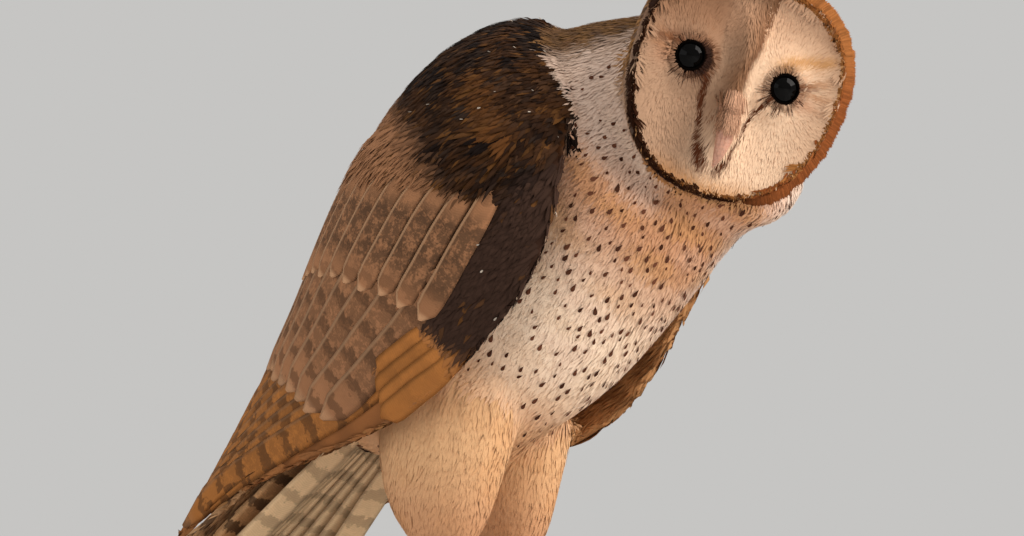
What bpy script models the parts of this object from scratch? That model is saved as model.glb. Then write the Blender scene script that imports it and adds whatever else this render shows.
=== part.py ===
"""Barn owl, life-size and still, standing on its own two feet and leaning forward to look round.

Metres, +Z up.  The trunk heads towards -Y, the bird's left side is +X, and the origin is on the
floor at the middle of the bird's box.  Soft parts are modelled out to the tips of the plumage.
"""
import math

import bmesh
import bpy
from mathutils import Matrix, Vector

MM = 0.001
GAP = 0.3 * MM                      # clearance between neighbouring pieces

# ------------------------------------------------------------------ pose of the trunk
TRUNK_CENTRE = Vector((0.0, 5.0, 160.0)) * MM
SPINE_RISE = math.radians(51.0)     # spine above the horizontal
TRUNK_ROLL = math.radians(10.0)     # right side up, left side down

# Trunk stations, in millimetres: along the spine, dorsal shift of the centre,
# half width, half depth of the back, half depth of the belly.
TRUNK_STATIONS = [
    (-112.0, 22.0, 13.0, 8.0, 8.0),
    (-95.0, 14.0, 28.0, 22.0, 26.0),
    (-72.0, 7.0, 40.0, 41.0, 42.0),
    (-42.0, 5.0, 48.0, 56.0, 54.0),
    (-8.0, 5.0, 54.0, 67.0, 62.0),
    (28.0, 6.0, 56.0, 74.0, 63.0),
    (58.0, 6.0, 56.0, 73.0, 60.5),
]
# Where the neck enters the head, in millimetres: forward and up from the eye line's middle.
THROAT = (-8.0, -47.0)
NAPE = (-43.0, 25.0)
NECK_HALF_WIDTH = 39.0
NECK_RUN_FROM_TRUNK = 20.0          # how far the neck keeps the spine's heading
NECK_RUN_TO_HEAD = 14.0             # how far it keeps square to the head
RUFFLE_SWELL = 20.0                 # swell of the neck's feathers at the front left
RUFFLE_HEADING = math.radians(-38.0)
NAPE_SWELL = 9.0                    # swell behind, which meets the bends of the wings
NAPE_HEADING = math.radians(112.0)
RING_POINTS = 28

# ------------------------------------------------------------------ head
EYE_LINE_CENTRE = Vector((-7.0, -100.0, 251.0)) * MM
HEAD_AZIMUTH = math.radians(-38.0)  # face turned to the bird's right of straight ahead (-Y)
HEAD_PITCH = math.radians(-9.0)     # face below the horizontal
HEAD_ROLL = math.radians(12.5)      # crown towards the bird's left
DISC_HALF_WIDTH = 46.5
DISC_RISE = 38.0                    # rim above the disc's middle
DISC_DROP = 58.5                    # rim below the disc's middle
DISC_MIDDLE_UP = 3.0                # disc's middle above the eye line
DISC_SQUARENESS = 2.3
NOTCH_DEPTH = 5.0
NOTCH_WIDTH = 9.0
RIM_FORWARD = 7.0
HEAD_DEPTH = 60.0                   # rim to the back of the head
CROWN_LIFT = 7.0
DISC_SEGMENTS = 36

EYE_SPACING = 42.0
EYE_RADIUS = 8.6
EYE_DEPTH = 7.2                     # eyeball centre behind the eye line centre

BILL_LENGTH = 28.0
BILL_HALF_WIDTH = 4.6

# ------------------------------------------------------------------ wings
# Stations from the bend of the wing to its tip.  Each is an arc round the trunk's axis, in
# millimetres and degrees: place along the spine of its upper and lower edge, dorsal shift,
# half width, half depth, angle of the upper and lower edge above the side, half thickness.
WING_RIGHT = [
    (92.0, 80.0, 10.0, 50.0, 50.0, 60.0, -5.0, 3.0),
    (84.0, 62.0, 8.0, 66.0, 78.0, 72.0, -22.0, 6.0),
    (56.0, 30.0, 6.0, 76.0, 94.0, 76.0, -34.0, 9.0),
    (16.0, -12.0, 6.0, 78.0, 94.0, 78.0, -38.0, 9.0),
    (-28.0, -52.0, 8.0, 70.0, 82.0, 76.0, -38.0, 8.0),
    (-72.0, -90.0, 12.0, 56.0, 64.0, 72.0, -32.0, 6.5),
    (-116.0, -128.0, 20.0, 42.0, 46.0, 66.0, -20.0, 5.0),
    (-158.0, -166.0, 30.0, 30.0, 30.0, 60.0, -2.0, 3.5),
    (-200.0, -203.0, 42.0, 18.0, 16.0, 52.0, 15.0, 2.0),
]
WING_LEFT = [
    (90.0, 78.0, 8.0, 50.0, 46.0, 58.0, -5.0, 3.0),
    (82.0, 60.0, 6.0, 63.0, 68.0, 70.0, -18.0, 6.0),
    (54.0, 28.0, 6.0, 66.0, 77.0, 74.0, -24.0, 8.0),
    (14.0, -12.0, 6.0, 69.0, 78.0, 76.0, -34.0, 8.0),
    (-28.0, -46.0, 8.0, 66.0, 70.0, 75.0, -33.0, 8.0),
    (-72.0, -88.0, 12.0, 52.0, 56.0, 72.0, -12.0, 6.5),
    (-116.0, -128.0, 20.0, 40.0, 42.0, 66.0, -8.0, 5.0),
    (-158.0, -166.0, 30.0, 28.0, 29.0, 60.0, 0.0, 3.5),
    (-196.0, -199.0, 42.0, 17.0, 16.0, 52.0, 15.0, 2.0),
]
WING_SPLIT = 4.0                    # station where the arm gives way to the hand
WING_ARC_STEPS = 8

# ------------------------------------------------------------------ tail
TAIL_LENGTH = 118.0
TAIL_START = (-82.0, 17.0)          # along the spine, dorsal
TAIL_RAKE = math.radians(6.0)       # lifted off the line of the spine
TAIL_HALF_WIDTH = 36.0
TAIL_HALF_THICKNESS = 4.0
TAIL_FEATHERS = 12

# ------------------------------------------------------------------ legs
LEG_OUT = 29.0
LEG_BACK = {1: 11.0, -1: 0.0}       # the left leg stands a little behind the right one
FOOT_Y = 3.0
THIGH_TOP = (27.0, 20.0, 112.0)
THIGH_FOOT = (29.0, 14.0, 42.0)
THIGH_HALF = {1: 21.0, -1: 24.0}
TARSUS_HALF = 5.2
ANKLE_HEIGHT = 9.0
TOE_HALF = 3.6
TOE_HEIGHT = 2.8                    # toe centre line above the floor
TOES = [                            # heading from straight ahead, length
    ("hind", 172.0, 21.0),
    ("inner", -22.0, 33.0),
    ("middle", 8.0, 37.0),
    ("outer", 48.0, 30.0),
]
CLAW_LENGTH = 17.0
CLAW_HALF = 2.3

PLUMAGE_BUFF = (0.66, 0.42, 0.25, 1.0)
PLUMAGE_CREAM = (0.75, 0.6, 0.45, 1.0)
PLUMAGE_FACE = (0.72, 0.5, 0.36, 1.0)
PLUMAGE_GOLD = (0.33, 0.16, 0.06, 1.0)
SKIN_GREY = (0.35, 0.3, 0.26, 1.0)
HORN_BLACK = (0.03, 0.025, 0.022, 1.0)
EYE_BLACK = (0.01, 0.009, 0.009, 1.0)
BILL_FLESH = (0.62, 0.42, 0.34, 1.0)


# ------------------------------------------------------------------ helpers
def clear_scene():
    for obj in list(bpy.data.objects):
        bpy.data.objects.remove(obj, do_unlink=True)


def make_collection(name):
    collection = bpy.data.collections.new(name)
    bpy.context.scene.collection.children.link(collection)
    return collection


def material(name, colour, roughness):
    mat = bpy.data.materials.get(name)
    if mat is None:
        mat = bpy.data.materials.new(name)
        mat.use_nodes = True
        shader = mat.node_tree.nodes["Principled BSDF"]
        shader.inputs["Base Color"].default_value = colour
        shader.inputs["Roughness"].default_value = roughness
        shader.inputs["Metallic"].default_value = 0.0
        mat.diffuse_color = colour
    return mat


def spline(stations, t):
    """Catmull-Rom value of a list of equal-length number tuples at a fractional index."""
    last = len(stations) - 1
    i = min(int(t), last - 1)
    f = t - i
    p0 = stations[max(i - 1, 0)]
    p1 = stations[i]
    p2 = stations[i + 1]
    p3 = stations[min(i + 2, last)]
    values = []
    for a, b, c, d in zip(p0, p1, p2, p3):
        values.append(0.5 * (2 * b + (c - a) * f + (2 * a - 5 * b + 4 * c - d) * f * f
                             + (3 * b - a - 3 * c + d) * f * f * f))
    return values


def signed_power(value, exponent):
    return math.copysign(abs(value) ** exponent, value)


def loft(name, rings, tip_start=None, tip_end=None):
    """Closed mesh through rings of equal point count; each end is a flat cap or a tip point."""
    bm = bmesh.new()
    loops = [[bm.verts.new(point) for point in ring] for ring in rings]
    count = len(rings[0])
    for lower, upper in zip(loops, loops[1:]):
        for k in range(count):
            n = (k + 1) % count
            bm.faces.new((lower[k], lower[n], upper[n], upper[k]))
    for loop, tip in ((loops[0], tip_start), (loops[-1], tip_end)):
        if tip is None:
            bm.faces.new(loop)
        else:
            apex = bm.verts.new(tip)
            for k in range(count):
                bm.faces.new((loop[k], loop[(k + 1) % count], apex))
    bmesh.ops.recalc_face_normals(bm, faces=bm.faces)
    mesh = bpy.data.meshes.new(name)
    bm.to_mesh(mesh)
    bm.free()
    mesh.shade_smooth()
    return bpy.data.objects.new(name, mesh)


def add_part(obj, mat):
    PARTS.objects.link(obj)
    obj.data.materials.append(mat)
    obj.data.set_sharp_from_angle(angle=math.radians(50))
    return obj


def grown_cutter(obj, by=GAP):
    """Copy of a finished part, larger by the clearance, for cutting its neighbours."""
    depsgraph = bpy.context.evaluated_depsgraph_get()
    mesh = bpy.data.meshes.new_from_object(obj.evaluated_get(depsgraph))
    cutter = bpy.data.objects.new("cutter_" + obj.name, mesh)
    cutter.hide_render = True
    cutter.display_type = 'WIRE'
    CUTTERS.objects.link(cutter)
    grow = cutter.modifiers.new("grow", 'DISPLACE')
    grow.mid_level = 0.0
    grow.strength = by
    return cutter


def combine(obj, other, operation):
    boolean = obj.modifiers.new(operation.lower(), 'BOOLEAN')
    boolean.operation = operation
    boolean.solver = 'EXACT'
    boolean.object = other


def settle(obj):
    """Replace an object's mesh by its evaluated mesh and keep its largest piece only."""
    bpy.context.view_layer.update()
    depsgraph = bpy.context.evaluated_depsgraph_get()
    mesh = bpy.data.meshes.new_from_object(obj.evaluated_get(depsgraph))
    obj.modifiers.clear()
    bm = bmesh.new()
    bm.from_mesh(mesh)
    bmesh.ops.dissolve_degenerate(bm, edges=bm.edges, dist=0.000001)
    bm.faces.ensure_lookup_table()
    unseen = set(bm.faces)
    pieces = []
    while unseen:
        stack = [unseen.pop()]
        piece = []
        while stack:
            face = stack.pop()
            piece.append(face)
            for edge in face.edges:
                for neighbour in edge.link_faces:
                    if neighbour in unseen:
                        unseen.remove(neighbour)
                        stack.append(neighbour)
        pieces.append(piece)
    pieces.sort(key=lambda piece: sum(face.calc_area() for face in piece))
    spare = [face for piece in pieces[:-1] for face in piece]
    if spare:
        bmesh.ops.delete(bm, geom=spare, context='FACES')
    bmesh.ops.triangulate(bm, faces=[face for face in bm.faces if len(face.verts) > 4])
    bm.to_mesh(mesh)
    bm.free()
    old = obj.data
    obj.data = mesh
    bpy.data.meshes.remove(old)


def cut_by(obj, neighbours):
    for neighbour in neighbours:
        combine(obj, grown_cutter(neighbour), 'DIFFERENCE')
        settle(obj)


# ------------------------------------------------------------------ trunk and neck
def trunk_frame():
    """Matrix from (left, along the spine, dorsal) to the world."""
    along = Vector((0.0, -math.cos(SPINE_RISE), math.sin(SPINE_RISE)))
    left = Vector((1.0, 0.0, 0.0))
    dorsal = Vector((0.0, math.sin(SPINE_RISE), math.cos(SPINE_RISE)))
    base = Matrix((left, along, dorsal)).transposed().to_4x4()
    roll = Matrix.Rotation(TRUNK_ROLL, 4, 'Y')
    return Matrix.Translation(TRUNK_CENTRE) @ roll @ base


def trunk_ring(t):
    """Cross-section of the trunk at a fractional station, square to the spine."""
    along, shift, width, back, belly = spline(TRUNK_STATIONS, t)
    frame = trunk_frame()
    ring = []
    for k in range(RING_POINTS):
        angle = 2 * math.pi * k / RING_POINTS
        depth = back if math.sin(angle) > 0 else belly
        point = Vector((width * math.cos(angle), along, shift + depth * math.sin(angle)))
        ring.append(frame @ (point * MM))
    return ring


def neck_end_ring():
    """Cross-section of the neck just inside the head, from the throat up to the nape."""
    frame = head_frame()
    throat = Vector((0.0, *THROAT))
    nape = Vector((0.0, *NAPE))
    middle = (throat + nape) / 2
    rise = (nape - throat) / 2
    ring = []
    for k in range(RING_POINTS):
        angle = 2 * math.pi * k / RING_POINTS
        point = middle + rise * math.sin(angle)
        point.x = NECK_HALF_WIDTH * math.cos(angle)
        ring.append(frame @ (point * MM))
    square = Vector((0.0, -rise.z, rise.y)).normalized()
    return ring, frame.to_3x3() @ square


def make_trunk_and_neck():
    per_station = 3
    last = len(TRUNK_STATIONS) - 1
    rings = [trunk_ring(k / per_station) for k in range(last * per_station + 1)]
    first = rings[0]
    tip = sum(first, Vector()) / len(first) + (first[0] - rings[1][0]) * 0.4
    trunk = loft("trunk", rings, tip_start=tip)

    spine = (trunk_frame().to_3x3() @ Vector((0.0, 1.0, 0.0))).normalized()
    start = [point + spine * GAP for point in rings[-1]]
    middle = sum(start, Vector()) / len(start)
    end, square = neck_end_ring()
    square.normalize()
    steps = 6
    rings = []
    for k in range(steps + 1):
        t = k / steps
        ring = []
        for j, (a, d) in enumerate(zip(start, end)):
            b = a + spine * NECK_RUN_FROM_TRUNK * MM
            c = d + square * NECK_RUN_TO_HEAD * MM
            point = (a * (1 - t) ** 3 + b * 3 * t * (1 - t) ** 2
                     + c * 3 * t * t * (1 - t) + d * t ** 3)
            angle = 2 * math.pi * j / RING_POINTS - RUFFLE_HEADING
            swell = RUFFLE_SWELL * math.sin(math.pi * t ** 2.7) * max(math.cos(angle), 0.0) ** 1.5
            angle = 2 * math.pi * j / RING_POINTS - NAPE_HEADING
            swell += NAPE_SWELL * math.sin(math.pi * t ** 0.75) * max(math.cos(angle), 0.0) ** 2.0
            ring.append(point + (a - middle).normalized() * swell * MM)
        rings.append(ring)
    neck = loft("neck", rings)
    return trunk, neck


# ------------------------------------------------------------------ head
def head_frame():
    """Matrix from (bird's left, forward, up) at the middle of the eye line to the world."""
    turn = Matrix.Rotation(HEAD_AZIMUTH + math.pi, 4, 'Z')
    pitch = Matrix.Rotation(HEAD_PITCH, 4, 'X')
    roll = Matrix.Rotation(-HEAD_ROLL, 4, 'Y')
    mirror = Matrix.Diagonal((-1.0, 1.0, 1.0, 1.0))
    return Matrix.Translation(EYE_LINE_CENTRE) @ turn @ pitch @ roll @ mirror


def disc_outline(angle):
    """Rim of the facial disc round its middle, 0 at the bird's left, pi/2 at the top."""
    power = 2.0 / DISC_SQUARENESS
    x = DISC_HALF_WIDTH * signed_power(math.cos(angle), power)
    rise = DISC_RISE if math.sin(angle) > 0 else DISC_DROP
    z = rise * signed_power(math.sin(angle), power)
    if math.sin(angle) > 0:
        z -= NOTCH_DEPTH * math.exp(-(x / NOTCH_WIDTH) ** 2)
    return x, z


def face_depth(x, z):
    """How far forward the face stands at a place on the disc, from the eye line's depth."""
    reach = math.hypot(x / DISC_HALF_WIDTH, (z - DISC_MIDDLE_UP) / DISC_DROP)
    bowl = -7.0 + 13.0 * reach ** 2.2
    ridge_height = 15.0 * math.exp(-(x / 7.5) ** 2)
    if z > 10.0:
        ridge_height *= math.exp(-((z - 10.0) / 20.0) ** 2)
    if z < -26.0:
        ridge_height *= math.exp(-((z + 26.0) / 12.0) ** 2)
    lean = -0.12 * max(z, 0.0)
    brow = 3.0 * math.exp(-((abs(x) - 17.0) / 9.0) ** 2 - ((z - 13.0) / 7.0) ** 2)
    return bowl + ridge_height + lean + brow


def make_head():
    frame = head_frame()
    angles = [2 * math.pi * (k + 0.5) / DISC_SEGMENTS for k in range(DISC_SEGMENTS)]
    rings = []
    for scale in (0.16, 0.32, 0.48, 0.64, 0.8, 0.92):
        ring = []
        for angle in angles:
            x, z = disc_outline(angle)
            x, z = x * scale, z * scale + DISC_MIDDLE_UP
            ring.append(frame @ (Vector((x, face_depth(x, z), z)) * MM))
        rings.append(ring)
    for back, scale in ((0.0, 0.97), (3.0, 1.0), (7.0, 1.0)):
        ring = []
        for angle in angles:
            x, z = disc_outline(angle)
            forward = RIM_FORWARD - back - 0.12 * max(z, 0.0)
            ring.append(frame @ (Vector((x * scale, forward, z * scale + DISC_MIDDLE_UP)) * MM))
        rings.append(ring)
    for step in (0.14, 0.32, 0.5, 0.68, 0.84, 0.95):
        ring = []
        for angle in angles:
            x, z = disc_outline(angle)
            fill = NOTCH_DEPTH * math.exp(-(x / NOTCH_WIDTH) ** 2) if z > 0 else 0.0
            x *= (1.0 - step ** 2.3) ** (1 / 2.3)
            if z > 0:
                z = (z + fill * min(step * 4.0, 1.0)) * (1.0 - step ** 2.3) ** (1 / 2.3)
                z += CROWN_LIFT * math.sin(math.pi * step) * max(math.sin(angle), 0.0)
            else:
                z *= (1.0 - step ** 1.7) ** (1 / 1.7)
            forward = RIM_FORWARD - 7.0 - (HEAD_DEPTH - 7.0) * step
            ring.append(frame @ (Vector((x, forward - 0.12 * max(z, 0.0) * (1 - step),
                                         z + DISC_MIDDLE_UP)) * MM))
        rings.append(ring)
    front = frame @ (Vector((0.0, face_depth(0.0, DISC_MIDDLE_UP), DISC_MIDDLE_UP)) * MM)
    back = frame @ (Vector((0.0, RIM_FORWARD - HEAD_DEPTH, DISC_MIDDLE_UP + 4.0)) * MM)
    return loft("head", rings, tip_start=front, tip_end=back)


def make_eye(name, side):
    frame = head_frame()
    bm = bmesh.new()
    bmesh.ops.create_uvsphere(bm, u_segments=14, v_segments=9, radius=EYE_RADIUS * MM)
    mesh = bpy.data.meshes.new(name)
    place = Matrix.Translation(Vector((side * EYE_SPACING / 2, -EYE_DEPTH, 0.0)) * MM)
    turn = Matrix.Rotation(math.radians(90), 4, 'X')
    bm.transform(frame @ place @ turn)
    bmesh.ops.recalc_face_normals(bm, faces=bm.faces)
    bm.to_mesh(mesh)
    bm.free()
    mesh.shade_smooth()
    return bpy.data.objects.new(name, mesh)


def make_bill(name, upper):
    """One half of the bill: a taper that follows an arc from the ridge down to its tip."""
    frame = head_frame()
    rings = []
    steps = 9
    length = BILL_LENGTH if upper else BILL_LENGTH * 0.66
    width = BILL_HALF_WIDTH if upper else BILL_HALF_WIDTH * 0.72
    deep = 4.8 if upper else 2.4
    for k in range(steps):
        t = k / steps
        bulge = math.sin(0.75 * math.pi * t)
        forward = 5.0 + 9.0 * bulge if upper else 2.0 + 5.5 * bulge
        down = -14.0 - length * t
        taper = (1.0 - t ** 2.2) ** 0.8
        ring = []
        for j in range(12):
            angle = 2 * math.pi * j / 12
            ring.append(frame @ (Vector((width * taper * math.cos(angle),
                                         forward + deep * taper * math.sin(angle), down)) * MM))
        rings.append(ring)
    forward = 10.5 if upper else 7.0
    tip = frame @ (Vector((0.0, forward, -14.0 - length)) * MM)
    return loft(name, rings, tip_end=tip)


# ------------------------------------------------------------------ wings
def wing_ring(side, t):
    """Closed section of a folded wing: its outer face and, back again, its inner face."""
    stations = WING_LEFT if side > 0 else WING_RIGHT
    high, low, shift, width, depth, top, bottom, half = spline(stations, t)
    frame = trunk_frame()
    outer = []
    inner = []
    for k in range(WING_ARC_STEPS + 1):
        q = k / WING_ARC_STEPS
        angle = math.radians(top + (bottom - top) * q)
        along = high + (low - high) * q
        thick = half * (0.3 + 0.7 * math.sin(math.pi * q) ** 0.6) if 0 < q < 1 else half * 0.3
        for points, reach in ((outer, thick), (inner, -thick)):
            out = (width + reach) * math.cos(angle) * side
            dorsal = shift + (depth + reach) * math.sin(angle)
            points.append(frame @ (Vector((out, along, dorsal)) * MM))
    return outer + inner[::-1]


def make_wing(side):
    name = "wing_left" if side > 0 else "wing_right"
    last = len(WING_RIGHT) - 1
    per_station = 2
    split = int(WING_SPLIT * per_station)
    arm = loft(name + "_arm", [wing_ring(side, k / per_station) for k in range(split + 1)])
    rings = [wing_ring(side, WING_SPLIT + 0.008)]
    rings += [wing_ring(side, k / per_station) for k in range(split + 1, last * per_station + 1)]
    hand = loft(name + "_hand", rings)
    return arm, hand


# ------------------------------------------------------------------ tail
def make_tail():
    frame = trunk_frame()
    rake = Matrix.Rotation(-TAIL_RAKE, 4, 'X')
    start = Matrix.Translation(Vector((0.0, TAIL_START[0], TAIL_START[1])) * MM)
    place = frame @ start @ rake
    across = 2 * TAIL_FEATHERS
    rings = []
    for k in range(5):
        t = k / 4
        width = TAIL_HALF_WIDTH * (0.55 + 0.45 * t ** 0.7)
        thick = TAIL_HALF_THICKNESS * (1.0 - 0.55 * t)
        outer = []
        inner = []
        for j in range(across + 1):
            q = -1.0 + 2.0 * j / across
            tip_wave = 2.2 * (j % 2) if k == 4 else 0.0
            back = TAIL_LENGTH * t + tip_wave * t - 7.0 * t * q * q
            crown = 7.0 * (1.0 - q * q) * (1.0 - 0.4 * t)
            edge = 0.45 if j in (0, across) else 1.0
            outer.append(place @ (Vector((width * q, -back, crown + thick * edge)) * MM))
            inner.append(place @ (Vector((width * q, -back, crown - thick * edge)) * MM))
        rings.append(outer + inner[::-1])
    return loft("tail", rings)


# ------------------------------------------------------------------ legs and feet
def tube(name, path, halves, count=14, squash=1.0):
    """Round tapered limb along a path of world points; halves gives its radius at each point."""
    rings = []
    for k, (point, half) in enumerate(zip(path, halves)):
        before = path[max(k - 1, 0)]
        after = path[min(k + 1, len(path) - 1)]
        tangent = (after - before).normalized()
        side = tangent.cross(Vector((0.0, 1.0, 0.001))).normalized()
        if side.length < 0.5 or abs(tangent.y) > 0.9:
            side = Vector((1.0, 0.0, 0.0))
            side = (side - tangent * side.dot(tangent)).normalized()
        front = tangent.cross(side)
        ring = []
        for j in range(count):
            angle = 2 * math.pi * j / count
            ring.append(point + side * half * math.cos(angle)
                        + front * half * squash * math.sin(angle))
        rings.append(ring)
    return loft(name, rings)


def make_thigh(name, side):
    back = LEG_BACK[side]
    top = Vector((side * THIGH_TOP[0], THIGH_TOP[1] + back, THIGH_TOP[2])) * MM
    foot = Vector((side * THIGH_FOOT[0], THIGH_FOOT[1] + back, THIGH_FOOT[2])) * MM
    if side < 0:
        top.z += 8.0 * MM
    path = []
    halves = []
    for k in range(9):
        t = k / 8
        point = top.lerp(foot, t)
        point.y += 8.0 * MM * math.sin(math.pi * t)
        path.append(point)
        halves.append((THIGH_HALF[side] * (1.0 - t ** 2.2) ** 0.8 + 8.5 * t) * MM)
    return tube(name, path, halves, count=16, squash=1.4)


def make_tarsus(name, side):
    back = LEG_BACK[side]
    top = Vector((side * THIGH_FOOT[0], THIGH_FOOT[1] + back, THIGH_FOOT[2] + 8.0)) * MM
    ankle = Vector((side * LEG_OUT, FOOT_Y + back, ANKLE_HEIGHT)) * MM
    path = [top.lerp(ankle, k / 6) for k in range(7)]
    halves = [(TARSUS_HALF + 1.6 * (1 - k / 6) ** 2 + 0.9 * (k / 6) ** 4) * MM for k in range(7)]
    return tube(name, path, halves, count=12)


def toe_path(side, heading, length):
    angle = math.radians(heading) * side
    direction = Vector((math.sin(angle), -math.cos(angle), 0.0))
    start = Vector((side * LEG_OUT, FOOT_Y + LEG_BACK[side], 0.0)) * MM
    points = []
    for k in range(7):
        t = k / 6
        height = TOE_HEIGHT + 4.0 * (1 - t) ** 3
        points.append(start + direction * length * t * MM + Vector((0.0, 0.0, height * MM)))
    return points, direction


def make_foot(name, side):
    bm = bmesh.new()
    bmesh.ops.create_uvsphere(bm, u_segments=10, v_segments=6, radius=7.0 * MM)
    bm.transform(Matrix.Translation(Vector((side * LEG_OUT, FOOT_Y + LEG_BACK[side], 7.2)) * MM)
                 @ Matrix.Diagonal((1.0, 1.1, 0.85, 1.0)))
    mesh = bpy.data.meshes.new(name)
    bm.to_mesh(mesh)
    bm.free()
    foot = bpy.data.objects.new(name, mesh)
    add_part(foot, material("foot_skin", SKIN_GREY, 0.7))
    toes = []
    for toe, heading, length in TOES:
        points, _ = toe_path(side, heading, length)
        halves = [(TOE_HALF * (1.12 - 0.22 * k / 6 + 0.1 * math.cos(k * 2.1))) * MM
                  for k in range(len(points))]
        finger = tube(name + "_" + toe, points, halves, count=8)
        CUTTERS.objects.link(finger)
        finger.hide_render = True
        finger.display_type = 'WIRE'
        toes.append(finger)
        combine(foot, finger, 'UNION')
    bm = bmesh.new()
    bmesh.ops.create_cube(bm, size=0.2)
    bm.transform(Matrix.Translation((side * LEG_OUT * MM, (FOOT_Y + LEG_BACK[side]) * MM, -0.1)))
    mesh = bpy.data.meshes.new("floor_cut")
    bm.to_mesh(mesh)
    bm.free()
    floor = bpy.data.objects.new("floor_cut_" + name, mesh)
    floor.hide_render = True
    floor.display_type = 'WIRE'
    CUTTERS.objects.link(floor)
    combine(foot, floor, 'DIFFERENCE')
    settle(foot)
    return foot


def make_claw(name, side, heading, length):
    points, direction = toe_path(side, heading, length)
    tip = points[-1]
    rings = []
    for k in range(5):
        t = k / 5
        angle = math.radians(12 + 62 * t)
        centre = tip + direction * (CLAW_LENGTH * 0.72 * math.sin(angle * 0.95)) * MM
        centre += direction * (-2.6 * MM)
        lift = 2.3 + 3.6 * math.sin(math.pi * min(t * 0.9 + 0.12, 1.0)) - 4.2 * t
        centre.z = (lift + 1.4) * MM
        half = CLAW_HALF * (1.0 - t) ** 0.8 * MM
        side_axis = Vector((0.0, 0.0, 1.0)).cross(direction)
        up = Vector((0.0, 0.0, 1.0)) * math.cos(angle * 0.6) + direction * math.sin(angle * 0.6)
        rings.append([centre + side_axis * half * math.cos(2 * math.pi * j / 6)
                      + up * half * math.sin(2 * math.pi * j / 6) for j in range(6)])
    end = tip + direction * (CLAW_LENGTH * 0.72 - 2.6) * MM
    end.z = 0.8 * MM
    return loft(name, rings, tip_end=end)


# ------------------------------------------------------------------ assembly
def stand_on_origin():
    """Move every part so that the origin is on the floor, at the middle of the bird's box."""
    low = Vector((math.inf, math.inf, math.inf))
    high = -low
    for obj in PARTS.objects:
        for vertex in obj.data.vertices:
            low = Vector(map(min, low, vertex.co))
            high = Vector(map(max, high, vertex.co))
    middle = (low + high) / 2
    for obj in PARTS.objects:
        obj.location = (-middle.x, -middle.y, -low.z)


def build():
    plumage = {
        "body": material("plumage_buff", PLUMAGE_BUFF, 0.85),
        "face": material("plumage_face", PLUMAGE_FACE, 0.85),
        "gold": material("plumage_gold", PLUMAGE_GOLD, 0.8),
        "cream": material("plumage_cream", PLUMAGE_CREAM, 0.85),
    }
    head = add_part(make_head(), plumage["face"])
    eyes = []
    for side, name in ((1, "eye_left"), (-1, "eye_right")):
        eyes.append(add_part(make_eye(name, side), material("eye_black", EYE_BLACK, 0.05)))
    bill_upper = add_part(make_bill("bill_upper", True), material("bill_flesh", BILL_FLESH, 0.4))
    bill_lower = add_part(make_bill("bill_lower", False), material("bill_flesh", BILL_FLESH, 0.4))
    cut_by(bill_lower, [bill_upper])
    cut_by(head, eyes + [bill_upper, bill_lower])

    trunk, neck = make_trunk_and_neck()
    add_part(trunk, plumage["cream"])
    add_part(neck, plumage["body"])
    cut_by(neck, [head])

    tail = add_part(make_tail(), plumage["gold"])
    cut_by(tail, [trunk])

    thighs = []
    for side, label in ((1, "left"), (-1, "right")):
        thigh = add_part(make_thigh("thigh_" + label, side), plumage["cream"])
        cut_by(thigh, [trunk, tail])
        thighs.append(thigh)
        tarsus = add_part(make_tarsus("tarsus_" + label, side), plumage["cream"])
        cut_by(tarsus, [thigh])
        foot = make_foot("foot_" + label, side)
        cut_by(foot, [tarsus])
        for toe, heading, length in TOES:
            claw = make_claw("claw_" + label + "_" + toe, side, heading, length)
            add_part(claw, material("claw_horn", HORN_BLACK, 0.35))
            cut_by(claw, [foot])

    for side in (1, -1):
        for piece in make_wing(side):
            add_part(piece, plumage["gold"])
            cut_by(piece, [trunk, neck, head, tail] + thighs)
    stand_on_origin()


clear_scene()
PARTS = make_collection("barn_owl")
CUTTERS = make_collection("cutters")
build()
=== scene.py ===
import math

import bpy
import numpy as np
from mathutils import Matrix, Vector
from mathutils.bvhtree import BVHTree
from mathutils.kdtree import KDTree


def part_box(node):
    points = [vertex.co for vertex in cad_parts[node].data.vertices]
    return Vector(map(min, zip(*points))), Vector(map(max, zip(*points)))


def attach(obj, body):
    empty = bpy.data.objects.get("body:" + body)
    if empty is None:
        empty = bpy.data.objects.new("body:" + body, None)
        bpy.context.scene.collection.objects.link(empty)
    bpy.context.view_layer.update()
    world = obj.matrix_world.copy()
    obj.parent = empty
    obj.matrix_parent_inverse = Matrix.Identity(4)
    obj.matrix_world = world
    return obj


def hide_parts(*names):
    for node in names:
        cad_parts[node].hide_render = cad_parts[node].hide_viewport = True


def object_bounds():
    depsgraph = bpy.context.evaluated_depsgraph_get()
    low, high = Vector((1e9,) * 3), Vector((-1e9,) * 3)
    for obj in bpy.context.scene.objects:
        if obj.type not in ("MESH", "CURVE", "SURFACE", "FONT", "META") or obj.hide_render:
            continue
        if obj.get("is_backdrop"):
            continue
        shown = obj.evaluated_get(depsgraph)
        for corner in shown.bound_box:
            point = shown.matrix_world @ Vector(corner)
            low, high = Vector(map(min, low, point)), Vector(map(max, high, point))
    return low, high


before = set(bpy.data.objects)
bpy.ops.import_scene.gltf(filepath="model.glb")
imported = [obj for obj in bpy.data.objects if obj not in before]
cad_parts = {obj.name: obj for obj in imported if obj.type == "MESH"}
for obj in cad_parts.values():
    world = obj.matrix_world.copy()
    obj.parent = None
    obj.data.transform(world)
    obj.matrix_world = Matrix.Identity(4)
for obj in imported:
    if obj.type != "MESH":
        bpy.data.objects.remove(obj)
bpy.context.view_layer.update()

MM = 0.001
RNG = np.random.default_rng(20)        # every random draw, in a fixed order

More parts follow.
